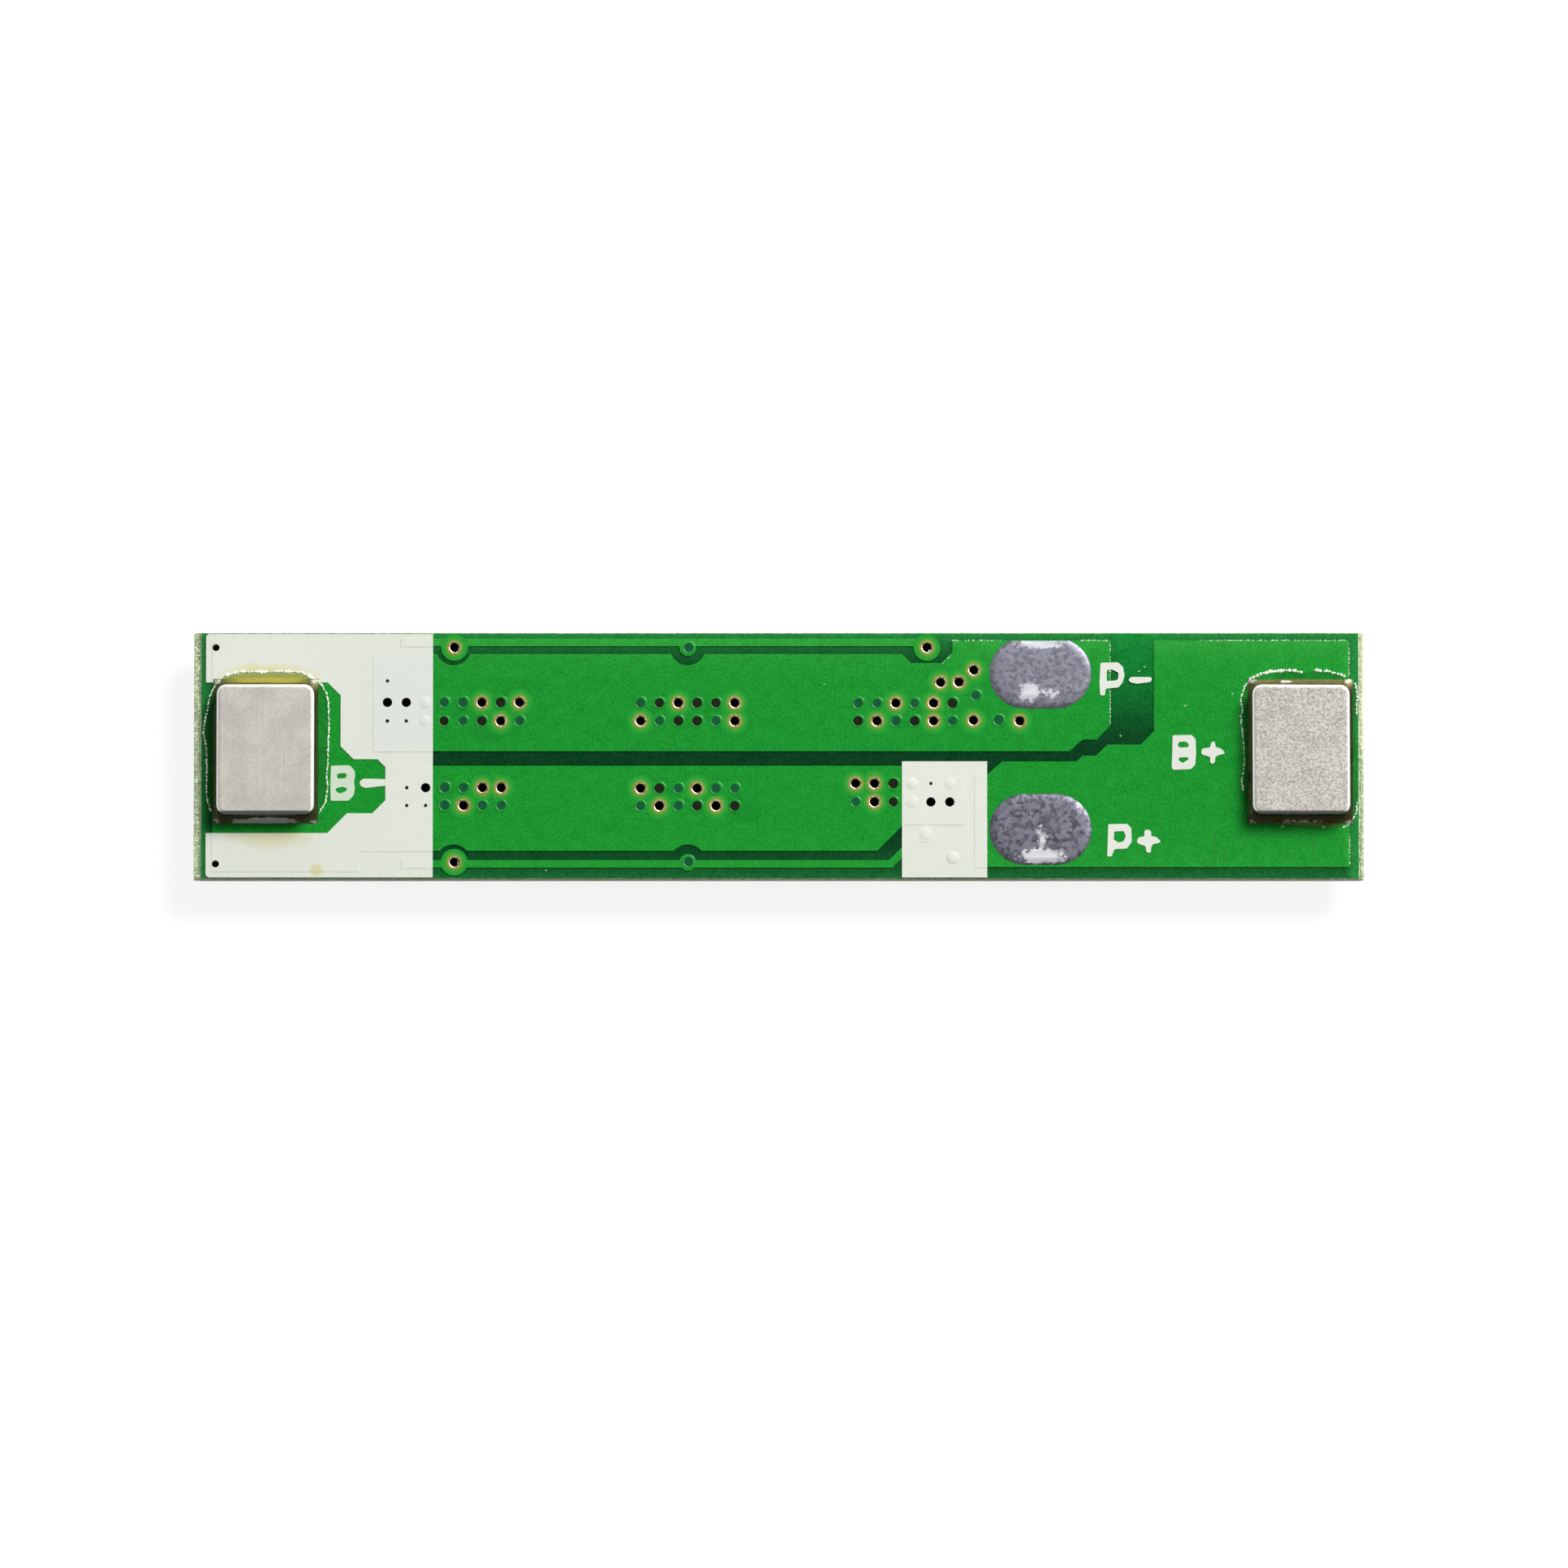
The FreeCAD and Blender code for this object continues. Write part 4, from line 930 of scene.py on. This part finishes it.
class BOARD_OT_solder_fillets(bpy.types.Operator):
    """Model the solder that creeps up the sides of both weld blocks"""

    bl_idname = "board.solder_fillets"
    bl_label = "Solder fillets"

    def execute(self, context):
        for number, (sign, block) in enumerate(BLOCKS.items()):
            node = f"solder_bed_{sign}"
            low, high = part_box(node)
            block_low, block_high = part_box(block)
            bm = bmesh.new()
            bmesh.ops.create_grid(bm, x_segments=22, y_segments=30, size=0.5)
            bmesh.ops.scale(bm, vec=(high.x - low.x, high.y - low.y, 1), verts=bm.verts)
            bmesh.ops.translate(bm, vec=((low.x + high.x) / 2, (low.y + high.y) / 2, high.z), verts=bm.verts)
            skirt = bmesh.ops.extrude_face_region(bm, geom=bm.faces[:])
            lower = [part for part in skirt["geom"] if isinstance(part, bmesh.types.BMVert)]
            bmesh.ops.translate(bm, vec=(0, 0, low.z - high.z), verts=lower)
            foot = low.z + (PRINT_TOP - low.z) * 0.9
            for vert in set(bm.verts) - set(lower):
                outside = max(
                    block_low.x - vert.co.x, vert.co.x - block_high.x, block_low.y - vert.co.y,
                    vert.co.y - block_high.y,
                )
                reach = min(1.0, max(0.0, outside) / (block_low.x - low.x))
                x, y, z = vert.co / MM
                hump = 0.018 * MM * (1.0 + rise(x, y, z, 3.0, number * 7.0))
                vert.co.z = high.z + (foot - high.z) * reach ** 0.6 + hump * (1.0 - reach)
            fillet = piece(f"solder_fillet_{sign}", bm, "fillet_tin")
            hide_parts(node)
        return {"FINISHED"}


class BOARD_OT_tinned_pads(bpy.types.Operator):
    """Model the low domes of solder on both output pads"""

    bl_idname = "board.tinned_pads"
    bl_label = "Tinned pads"

    def execute(self, context):
        for sign in ("p_minus", "p_plus"):
            node = f"tinned_pad_{sign}"
            low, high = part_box(node)
            radius = PAD_WIDTH / 2 * MM
            middle = (high.y - radius) if low.y + high.y < 0 else (low.y + radius)
            shift = (high.x - low.x) / 2 - radius
            bm = bmesh.new()
            half_step = Matrix.Rotation(math.pi / PAD_SIDES, 4, "Z")
            bmesh.ops.create_circle(bm, cap_ends=True, segments=PAD_SIDES, radius=radius, matrix=half_step)
            for side in (-1, 1):
                half = [vert for vert in bm.verts if vert.co.x * side > 0]
                bmesh.ops.translate(bm, vec=(side * shift, 0, 0), verts=half)
            bmesh.ops.translate(bm, vec=((low.x + high.x) / 2, middle, low.z), verts=bm.verts)
            raised = bmesh.ops.extrude_face_region(bm, geom=bm.faces[:])
            top = [part for part in raised["geom"] if isinstance(part, bmesh.types.BMFace)]
            lift = PLATEAU - low.z - 0.005 * MM
            bmesh.ops.translate(bm, vec=(0, 0, lift), verts=[vert for face in top for vert in face.verts])
            for thickness, depth in PAD_STEPS:
                bmesh.ops.inset_region(bm, faces=top, thickness=thickness * MM, depth=depth * MM, use_even_offset=False)
            bmesh.ops.poke(bm, faces=top)
            peak = max(vert.co.z for vert in bm.verts)
            for vert in bm.verts:
                if vert.co.z > PLATEAU + 0.01 * MM:
                    x, y, z = vert.co / MM
                    vert.co.z += 0.006 * MM * rise(x, y, z, 2.2, 3.0) + high.z - peak
            sliced = bmesh.ops.bisect_plane(
                bm, geom=bm.verts[:] + bm.edges[:] + bm.faces[:], plane_co=(0, high.y, 0), plane_no=(0, 1, 0),
                clear_outer=True,
            )
            cut_edges = [part for part in sliced["geom_cut"] if isinstance(part, bmesh.types.BMEdge)]
            if cut_edges:
                bmesh.ops.contextual_create(bm, geom=cut_edges)
            pad = piece(f"solder_dome_{sign}", bm, "pad_tin")
            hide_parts(node)
        return {"FINISHED"}


class BOARD_OT_open_vias(bpy.types.Operator):
    """Line the open vias with barrels painted near black as their shade, and give each its bare plated ring"""

    bl_idname = "board.open_vias"
    bl_label = "Open vias"

    def execute(self, context):
        sizes = context.scene.board_sizes
        depth = (LAMINATE_LOW[2] - PLATEAU) / MM + 0.01
        bore = round_bore([(0.0, depth), (-0.02, depth), (-0.02, -0.02), (0.0, -0.004)])
        rings, barrels, halos = bmesh.new(), bmesh.new(), bmesh.new()
        for x, y, letter in all_vias():
            if letter != "o":
                continue
            turned(barrels, x, y, bore, sizes.via_sides)
            if in_print(x, y):
                continue
            turned(rings, x, y, round_bore(LIP_PROFILE), sizes.via_sides)
            turned(halos, x, y, round_bore(HALO_PROFILE), sizes.via_sides)
        piece("via_halos", halos, "halo")
        piece("via_rings", rings, "plating")
        # The barrels' walls are painted shade, near black.
        piece("via_barrels", barrels, "hole")
        return {"FINISHED"}


class BOARD_OT_closed_vias(bpy.types.Operator):
    """Model the dimples, rims, pinholes and bumps of the vias that the coat closes"""

    bl_idname = "board.closed_vias"
    bl_label = "Closed vias"

    def execute(self, context):
        sizes = context.scene.board_sizes
        draw = random.Random(11)
        rims, wells, shade_discs = bmesh.new(), bmesh.new(), bmesh.new()
        on_print = bmesh.new()
        for x, y, letter in all_vias():
            printed = in_print(x, y)
            top = PRINT_TOP if printed else PLATEAU
            rise_by = sizes.rim_height * draw.uniform(0.8, 1.25) * (0.6 if printed else 1.0)
            size = draw.uniform(0.94, 1.06)
            if letter in WELL_RADII:
                outer, crest, inner = RIM_RADIUS * size, CREST_RADIUS * size, WELL_RADII[letter] * size
                rim = [
                    (outer, top + 0.0005 * MM), (outer - 0.012, top + rise_by * 0.5), (crest, top + rise_by),
                    (inner, top + rise_by * 0.5), (inner - 0.01, top + 0.0005 * MM),
                ]
                turned(on_print if printed else rims, x, y, rim, sizes.via_sides)
                well = [(inner, top + rise_by * 0.4), (inner * 0.6, top + 0.002 * MM), (0.0, top + 0.001 * MM)]
                # A dark via's well is painted shade, near black; a closed via's well is sunk mask.
                turned(wells if letter == "t" else shade_discs, x, y, well, sizes.via_sides)
            elif letter == "b":
                radius = BUMP_RADIUS * size
                dome = [
                    (radius, top + 0.0005 * MM), (radius * 0.85, top + rise_by * 0.8),
                    (radius * 0.5, top + rise_by * 1.6), (0.0, top + rise_by * 1.9),
                ]
                turned(on_print if printed else rims, x, y, dome, sizes.via_sides)
            elif letter == "p":
                # A pinhole is a flat disc of painted shade.
                pin = [(PIN_RADIUS * size, top + 0.0005 * MM), (PIN_RADIUS * 0.5, top + 0.001 * MM)]
                turned(shade_discs, x, y, pin + [(0.0, top + 0.001 * MM)], PIN_SIDES)
        piece("via_rims", rims, "mask")
        piece("via_wells", wells, "sunk_mask")
        piece("via_shade_discs", shade_discs, "hole")
        piece("via_bumps_in_print", on_print, "print")
        return {"FINISHED"}


# Outlines of the marks, drawn in mm: each mark is a list of loops, and a loop inside another is a hole
MARKS = {
    "mark_b_minus": [
        [(-13.772, -0.314), (-13.205, -0.296), (-13.047, -0.454), (-13.029, -0.612), (-13.069, -0.799),
         (-13.037, -0.985), (-13.069, -1.215), (-13.227, -1.394), (-13.779, -1.394), (-13.787, -0.856)],
        [(-13.593, -0.562), (-13.327, -0.533), (-13.277, -0.619), (-13.327, -0.698), (-13.578, -0.712)],
        [(-13.629, -1.007), (-13.413, -0.964), (-13.281, -1.007), (-13.299, -1.086), (-13.485, -1.175),
         (-13.629, -1.100)],
        [(-12.897, -0.813), (-12.782, -0.712), (-12.093, -0.724), (-12.093, -0.928), (-12.725, -0.999),
         (-12.868, -0.928)],
        [(-12.36, -0.09), (-12.09, -0.09), (-12.09, -0.37)],
    ],
    "mark_p_minus": [
        [(9.899, 2.869), (10.441, 2.883), (10.592, 2.743), (10.646, 2.470), (10.578, 2.255), (10.456, 2.104),
         (10.068, 2.075), (10.032, 1.860), (9.893, 1.864), (9.871, 2.269)],
        [(10.094, 2.649), (10.269, 2.657), (10.458, 2.570), (10.441, 2.355), (10.341, 2.315),
         (10.090, 2.305)],
        [(10.764, 2.334), (10.836, 2.430), (11.460, 2.427), (11.489, 2.341), (11.417, 2.269),
         (11.015, 2.219), (10.814, 2.269)],
    ],
    "mark_p_plus": [
        [(10.131, -2.117), (10.720, -2.107), (10.842, -2.243), (10.856, -2.659), (10.706, -2.867),
         (10.325, -2.889), (10.232, -3.111), (10.103, -3.111), (10.117, -2.616)],
        [(10.318, -2.343), (10.605, -2.329), (10.674, -2.487), (10.605, -2.645), (10.447, -2.688),
         (10.297, -2.587)],
        [(11.244, -2.315), (11.351, -2.279), (11.452, -2.329), (11.455, -2.487), (11.610, -2.513),
         (11.746, -2.645), (11.703, -2.691), (11.509, -2.738), (11.449, -2.817), (11.437, -2.982),
         (11.351, -3.001), (11.301, -2.961), (11.282, -2.796), (11.036, -2.709), (11.014, -2.616),
         (11.064, -2.527), (11.244, -2.490)],
    ],
    "mark_b_plus": [
        [(12.120, 0.625), (12.698, 0.639), (12.828, 0.507), (12.838, 0.076), (12.813, -0.282),
         (12.677, -0.419), (12.124, -0.437), (12.088, -0.354), (12.110, 0.134)],
        [(12.325, 0.428), (12.540, 0.432), (12.627, 0.335), (12.576, 0.252), (12.318, 0.249),
         (12.272, 0.335)],
        [(12.325, -0.053), (12.605, -0.053), (12.605, -0.124), (12.418, -0.232), (12.289, -0.124)],
        [(13.294, 0.378), (13.366, 0.461), (13.426, 0.385), (13.435, 0.256), (13.581, 0.234),
         (13.717, 0.112), (13.699, 0.051), (13.524, 0.016), (13.430, -0.053), (13.412, -0.211),
         (13.344, -0.257), (13.277, -0.211), (13.272, -0.038), (13.036, 0.026), (12.990, 0.091),
         (13.036, 0.220), (13.277, 0.252)],
    ],
}


class BOARD_OT_polarity_marks(bpy.types.Operator):
    """Print the plain polarity marks beside the pads"""

    bl_idname = "board.polarity_marks"
    bl_label = "Polarity marks"

    def execute(self, context):
        corner = context.scene.board_sizes.mark_corner
        for name, loops in MARKS.items():
            bm = bmesh.new()
            for loop in loops:
                corners = [bm.verts.new((x * MM, y * MM, BASE_TOP)) for x, y in loop]
                for pair in zip(corners, corners[1:] + corners[:1]):
                    bm.edges.new(pair)
            bmesh.ops.bevel(
                bm, geom=bm.verts[:], offset=corner, segments=4, affect="VERTICES", profile=0.5, material=-1,
                clamp_overlap=True,
            )
            bmesh.ops.remove_doubles(bm, verts=bm.verts, dist=0.002 * MM)
            bmesh.ops.triangle_fill(bm, edges=bm.edges[:], use_beauty=True, normal=(0, 0, 1))
            raised = bmesh.ops.extrude_face_region(bm, geom=bm.faces[:])
            top = [part for part in raised["geom"] if isinstance(part, bmesh.types.BMVert)]
            bmesh.ops.translate(bm, vec=(0, 0, PRINT_TOP - 0.002 * MM - BASE_TOP), verts=top)
            bleed = 0.006 * MM
            for vert in top:
                x, y, z = vert.co / MM
                vert.co.x += bleed * rise(x, y, z, 6.0, 2.0)
                vert.co.y += bleed * rise(x, y, z, 6.0, 8.0)
            piece(name, bm, "print", smooth=False)
        return {"FINISHED"}


def add_bead(bm, draw, x, y, top, width):
    """One flattened bead at a place in mm on a level in metres."""
    place = Matrix.Translation((x * MM, y * MM, top)) @ Matrix.Diagonal(
        (width * draw.uniform(0.85, 1.2) * MM, width * draw.uniform(0.85, 1.2) * MM, width * 0.7 * MM, 1)
    )
    bmesh.ops.create_icosphere(bm, subdivisions=2, radius=0.5, matrix=place)


class BOARD_OT_flux(bpy.types.Operator):
    """Pour the clear flux round both blocks, with beads along its rim"""

    bl_idname = "board.flux"
    bl_label = "Flux"

    def execute(self, context):
        size = context.scene.board_sizes.bead_size / MM
        draw = random.Random(5)
        left_edge = box_mm("print_field_left")[1][0]
        for sign, outline in FLUX_OUTLINES.items():
            level = PRINT_TOP if outline[0][0] < left_edge else PLATEAU
            film = bmesh.new()
            corners = [film.verts.new((x * MM, y * MM, level + 0.001 * MM)) for x, y in outline]
            face = film.faces.new(corners)
            bmesh.ops.recalc_face_normals(film, faces=[face])
            raised = bmesh.ops.extrude_face_region(film, geom=[face])
            top = [part for part in raised["geom"] if isinstance(part, bmesh.types.BMFace)]
            bmesh.ops.translate(film, vec=(0, 0, 0.005 * MM), verts=top[0].verts[:])
            for thickness, depth in ((0.02, 0.008), (0.03, 0.005), (0.05, 0.002)):
                bmesh.ops.inset_region(film, faces=top, thickness=thickness * MM)
                bmesh.ops.translate(film, vec=(0, 0, depth * MM), verts=top[0].verts[:])
            piece(f"flux_film_{sign}", film, "film")
            beads = bmesh.new()
            for number, ((x0, y0), (x1, y1)) in enumerate(zip(outline, outline[1:])):
                if number in BARE_RIM[sign]:
                    continue
                wide = size * (1.7 if min(y0, y1) > 2.2 else 1.0)
                count = max(2, round(math.hypot(x1 - x0, y1 - y0) / (wide * 0.8)))
                for step in range(count):
                    share = (step + draw.uniform(-0.3, 0.3)) / count
                    x = x0 + (x1 - x0) * share + draw.gauss(0, 0.008)
                    y = y0 + (y1 - y0) * share + draw.gauss(0, 0.008)
                    add_bead(beads, draw, x, y, level, wide * draw.uniform(0.5, 1.1))
            # The beads' white is a painted highlight.
            piece(f"flux_beads_{sign}", beads, "flux")
        return {"FINISHED"}


class BOARD_OT_painted_edge_glints(bpy.types.Operator):
    """Line the edges of the foil with fine white beads that stand for its glints, a painted highlight"""

    bl_idname = "board.coat_bubbles"
    bl_label = "Painted edge glints"

    def execute(self, context):
        draw = random.Random(31)
        bm = bmesh.new()
        for x0, y0, x1, y1, share in GLINT_LINES:
            count = round(math.hypot(x1 - x0, y1 - y0) / GLINT_STEP)
            for step in range(count):
                if draw.random() > share:
                    continue
                along = (step + draw.uniform(-0.3, 0.3)) / count
                x = x0 + (x1 - x0) * along + draw.gauss(0, 0.006)
                y = y0 + (y1 - y0) * along + draw.gauss(0, 0.006)
                add_bead(bm, draw, x, y, PLATEAU - 0.004 * MM, draw.uniform(*GLINT_WIDTHS))
        # Painted highlights along the foil's edges, in the flux beads' white.
        piece("coat_bubbles", bm, "flux")
        return {"FINISHED"}


class BOARD_OT_end_fibres(bpy.types.Operator):
    """Fray the cut glass at both short ends of the board"""

    bl_idname = "board.end_fibres"
    bl_label = "End fibres"

    def execute(self, context):
        draw = random.Random(23)
        low, high = box_mm("laminate")
        mask_low, mask_high = MASK_LOW / MM, MASK_HIGH / MM
        bm = bmesh.new()
        for side, edge, inner in ((-1, low[0], mask_low[0]), (1, high[0], mask_high[0])):
            width = abs(edge - inner)
            y = low[1] + 0.05
            while y < high[1] - 0.05:
                step = draw.uniform(0.025, 0.075)
                length = width * draw.uniform(0.35, 0.95)
                height = draw.uniform(0.006, 0.03)
                x = edge - side * length / 2
                place = Matrix.Translation((x * MM, (y + step / 2) * MM, high[2] * MM)) @ Matrix.Diagonal(
                    (length * MM, step * MM, 2 * height * MM, 1)
                )
                bmesh.ops.create_icosphere(bm, subdivisions=1, radius=0.56, matrix=place)
                y += step
        for vert in bm.verts:
            vert.co.x = min(max(vert.co.x, LAMINATE_LOW[0]), LAMINATE_HIGH[0])
        piece("end_fibres", bm, "glass", smooth=False)
        return {"FINISHED"}


class BOARD_OT_specks(bpy.types.Operator):
    """Scatter the dust specks and hairline scratches of a used board"""

    bl_idname = "board.specks"
    bl_label = "Specks"

    def execute(self, context):
        for name, spots, look in (("specks", SPECKS, "dust"), ("scratches", SCRATCHES, "scratch")):
            bm = bmesh.new()
            for x, y, width, length, turn in spots:
                place = (
                    Matrix.Translation((x * MM, y * MM, PLATEAU))
                    @ Matrix.Rotation(math.radians(turn), 4, "Z")
                    @ Matrix.Diagonal((width * MM, length * MM, 0.012 * MM, 1))
                )
                bmesh.ops.create_icosphere(bm, subdivisions=2, radius=0.5, matrix=place)
            piece(name, bm, look)
        return {"FINISHED"}


def add_lamp(name, size, power, place, target):
    """A rectangular area lamp that faces a target, its long side level."""
    data = bpy.data.lights.new(name, "AREA")
    data.shape = "RECTANGLE"
    data.size, data.size_y = size
    data.energy = power
    lamp = bpy.data.objects.new(name, data)
    lamp.location = place
    lamp.rotation_euler = (Vector(target) - Vector(place)).to_track_quat("-Z", "Y").to_euler()
    bpy.context.scene.collection.objects.link(lamp)


def light_tent():
    """A pale tent all round with a dark opening overhead, where the camera looks in."""
    world = bpy.data.worlds.new("Light tent")
    bpy.context.scene.world = world
    world.use_nodes = True
    steps = Builder(world.node_tree)
    back = world.node_tree.nodes["Background"]
    where = steps.add("ShaderNodeTexCoord").outputs["Generated"]
    way = steps.split(where)
    opening = steps.span(way["Z"], 0.7, 0.9, 1.0, 0.02)
    band = steps.span(way["Z"], 0.2, 0.42, 1.3, 0.36)
    front = steps.span(way["Y"], -0.97, -0.6, 0.15, 1.0)
    level = steps.math("MULTIPLY", steps.math("MULTIPLY", opening, front), band)
    camera = steps.add("ShaderNodeLightPath").outputs["Is Camera Ray"]
    shown = steps.math("MULTIPLY", camera, steps.math("SUBTRACT", 1.0, level, clamp=True))
    steps.feed(back, "Strength", steps.math("ADD", level, shown))
    back.inputs["Color"].default_value = (1, 1, 1, 1)


def floor_material():
    """Pale floor that the camera sees nearly white, with the board's shadow still on it."""
    material, steps, shader = new_material("Pale floor", Base_Color=(0.2, 0.2, 0.2), Roughness=0.9)
    camera = steps.add("ShaderNodeLightPath").outputs["Is Camera Ray"]
    shader.inputs["Emission Color"].default_value = (1, 1, 1, 1)
    steps.feed(shader, "Emission Strength", steps.math("MULTIPLY", camera, 0.86))
    return material


class BOARD_OT_stage(bpy.types.Operator):
    """Lay the floor, and set the lamps, the tent and the camera"""

    bl_idname = "board.stage"
    bl_label = "Stage"

    def execute(self, context):
        sizes = context.scene.board_sizes
        bm = bmesh.new()
        bmesh.ops.create_circle(bm, cap_ends=True, segments=64, radius=FLOOR_RADIUS)
        bmesh.ops.translate(bm, vec=(0, 0, -0.01 * MM), verts=bm.verts)
        mesh = bpy.data.meshes.new("floor")
        bm.to_mesh(mesh)
        bm.free()
        mesh.materials.append(floor_material())
        floor = bpy.data.objects.new("floor", mesh)
        context.scene.collection.objects.link(floor)
        light_tent()
        target = Vector((CAMERA_TARGET[0] * MM, CAMERA_TARGET[1] * MM, PLATEAU))
        add_lamp("key", LAMP_SIZE, LAMP_WATTS, LAMP_PLACE, target)
        camera = bpy.data.cameras.new("camera")
        camera.lens = camera.sensor_width * sizes.camera_distance / (CAMERA_WIDTH * MM)
        camera.clip_start = 0.01
        camera.clip_end = 20.0
        eye = bpy.data.objects.new("camera", camera)
        eye.rotation_euler = (sizes.camera_tilt, 0, 0)
        away = Vector((0, -math.sin(sizes.camera_tilt), math.cos(sizes.camera_tilt)))
        eye.location = target + away * sizes.camera_distance
        context.scene.collection.objects.link(eye)
        context.scene.camera = eye
        context.scene.view_settings.view_transform = "Standard"
        return {"FINISHED"}


OPERATORS = (
    BOARD_OT_finish_solids,
    BOARD_OT_printed_fields,
    BOARD_OT_nickel_blocks,
    BOARD_OT_solder_fillets,
    BOARD_OT_tinned_pads,
    BOARD_OT_open_vias,
    BOARD_OT_closed_vias,
    BOARD_OT_polarity_marks,
    BOARD_OT_flux,
    BOARD_OT_painted_edge_glints,
    BOARD_OT_end_fibres,
    BOARD_OT_specks,
    BOARD_OT_stage,
)


class BOARD_PT_pieces(bpy.types.Panel):
    """Lists the board's pieces and the sizes and colours that shape them"""

    bl_label = "Battery protection board"
    bl_space_type = "VIEW_3D"
    bl_region_type = "UI"
    bl_category = "Board"

    def draw(self, context):
        for operator in OPERATORS:
            self.layout.operator(operator.bl_idname)
        for group in (context.scene.board_sizes, context.scene.board_colours):
            for name in group.__annotations__:
                self.layout.prop(group, name)


CLASSES = (BoardColours, BoardSizes, *OPERATORS, BOARD_PT_pieces)


def register():
    for item in CLASSES:
        bpy.utils.register_class(item)
    bpy.types.Scene.board_colours = PointerProperty(type=BoardColours)
    bpy.types.Scene.board_sizes = PointerProperty(type=BoardSizes)


def unregister():
    del bpy.types.Scene.board_sizes
    del bpy.types.Scene.board_colours
    for item in reversed(CLASSES):
        bpy.utils.unregister_class(item)


def main():
    register()
    bpy.ops.board.finish_solids()
    bpy.ops.board.printed_fields()
    bpy.ops.board.nickel_blocks()
    bpy.ops.board.solder_fillets()
    bpy.ops.board.tinned_pads()
    bpy.ops.board.open_vias()
    bpy.ops.board.closed_vias()
    bpy.ops.board.polarity_marks()
    bpy.ops.board.flux()
    bpy.ops.board.coat_bubbles()
    bpy.ops.board.end_fibres()
    bpy.ops.board.specks()
    bpy.ops.board.stage()


if __name__ == "__main__":
    main()
